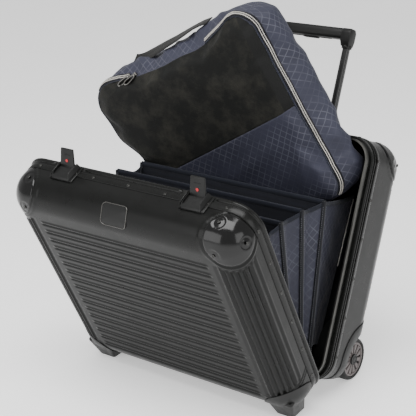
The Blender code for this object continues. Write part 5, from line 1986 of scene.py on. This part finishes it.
# ---------------------------------------------------------------- carried-over CAD nodes
def finish_cad_nodes():
    """Gives every CAD node that still shows its procedural material."""
    looks = {
        "shell": SHELL, "frame": FRAME_METAL, "polished_cap": CAP_GLOSS, "moulded_trim": MOULDED,
        "lining": LINING, "steel": STEEL, "pole": POLE_BLACK, "tyre": RUBBER, "rim": RIM_GREY,
        "navy_fabric": NAVY, "lattice_fabric": NAVY, "webbing": WEBBING, "zip_metal": NICKEL,
    }
    slots = {item["node"]: item["material_slot"] for item in frame["record"]["subparts"]}
    for name, obj in frame["nodes"].items():
        obj.data.materials.clear()
        obj.data.materials.append(looks[slots.get(name, "moulded_trim")])


# ---------------------------------------------------------------- stage
def make_stage():
    bpy.ops.mesh.primitive_plane_add(size=12.0, location=(0.0, 0.0, -0.0004))
    floor = bpy.context.object
    floor.name = "studio_floor"
    mat = Nodes("studio_floor", (0.80, 0.80, 0.80), 0.7)
    mat.color(mat.mix(mat.span(mat.noise(3.0, 2.0, 0.5), 0.3, 0.7), (0.88, 0.88, 0.88), (0.91, 0.91, 0.91)))
    mat.shader.inputs["Emission Color"].default_value = (1.0, 1.0, 1.0, 1.0)
    mat.shader.inputs["Emission Strength"].default_value = 0.55
    floor.data.materials.append(mat.material)
    world = bpy.data.worlds.new("studio")
    bpy.context.scene.world = world
    world.use_nodes = True
    world.node_tree.nodes["Background"].inputs[0].default_value = (1.0, 1.0, 1.0, 1.0)
    world.node_tree.nodes["Background"].inputs[1].default_value = 0.72
    lights = (
        ("key_overhead", (0.3, -0.9, 2.4), (0.0, 0.0, 0.3), 2.2, 1.4, 80.0),
        ("fill_right", (2.4, -0.6, 1.0), (0.0, 0.0, 0.3), 1.4, 1.4, 18.0),
        ("fill_front", (-0.6, -2.6, 0.9), (0.0, 0.0, 0.25), 2.0, 1.4, 26.0),
    )
    for name, place, aim, size_x, size_y, power in lights:
        data = bpy.data.lights.new(name, "AREA")
        data.shape = "RECTANGLE"
        data.size, data.size_y, data.energy = size_x, size_y, power
        lamp = bpy.data.objects.new(name, data)
        bpy.context.scene.collection.objects.link(lamp)
        lamp.location = place
        lamp.rotation_euler = (Vector(aim) - Vector(place)).to_track_quat("-Z", "Y").to_euler()


def make_camera():
    data = bpy.data.cameras.new("photo_camera")
    data.lens, data.sensor_width = 104.8, 36.0
    camera = bpy.data.objects.new("photo_camera", data)
    bpy.context.scene.collection.objects.link(camera)
    forward = Vector((-0.5734, 0.7593, -0.3076)).normalized()
    right = Vector((0.7981, 0.6025, 0.0)).normalized()
    up = right.cross(forward).normalized()
    right = forward.cross(up).normalized()
    turn = Matrix((
        (right.x, up.x, -forward.x, 0.0), (right.y, up.y, -forward.y, 0.0),
        (right.z, up.z, -forward.z, 0.0), (0.0, 0.0, 0.0, 1.0),
    ))
    camera.matrix_world = Matrix.Translation((1.1018, -1.4774, 0.8686)) @ turn
    bpy.context.scene.camera = camera


make_camera()
make_stage()
finish_cad_nodes()
make_shells()
make_frames()
frame_rivets()
make_caps()
make_latches()
make_badge()
make_wheels()
make_housings()
make_feet()
make_handle()
make_file()
make_panel_zip()
make_gussets()
make_pouch_trim(make_pouch())
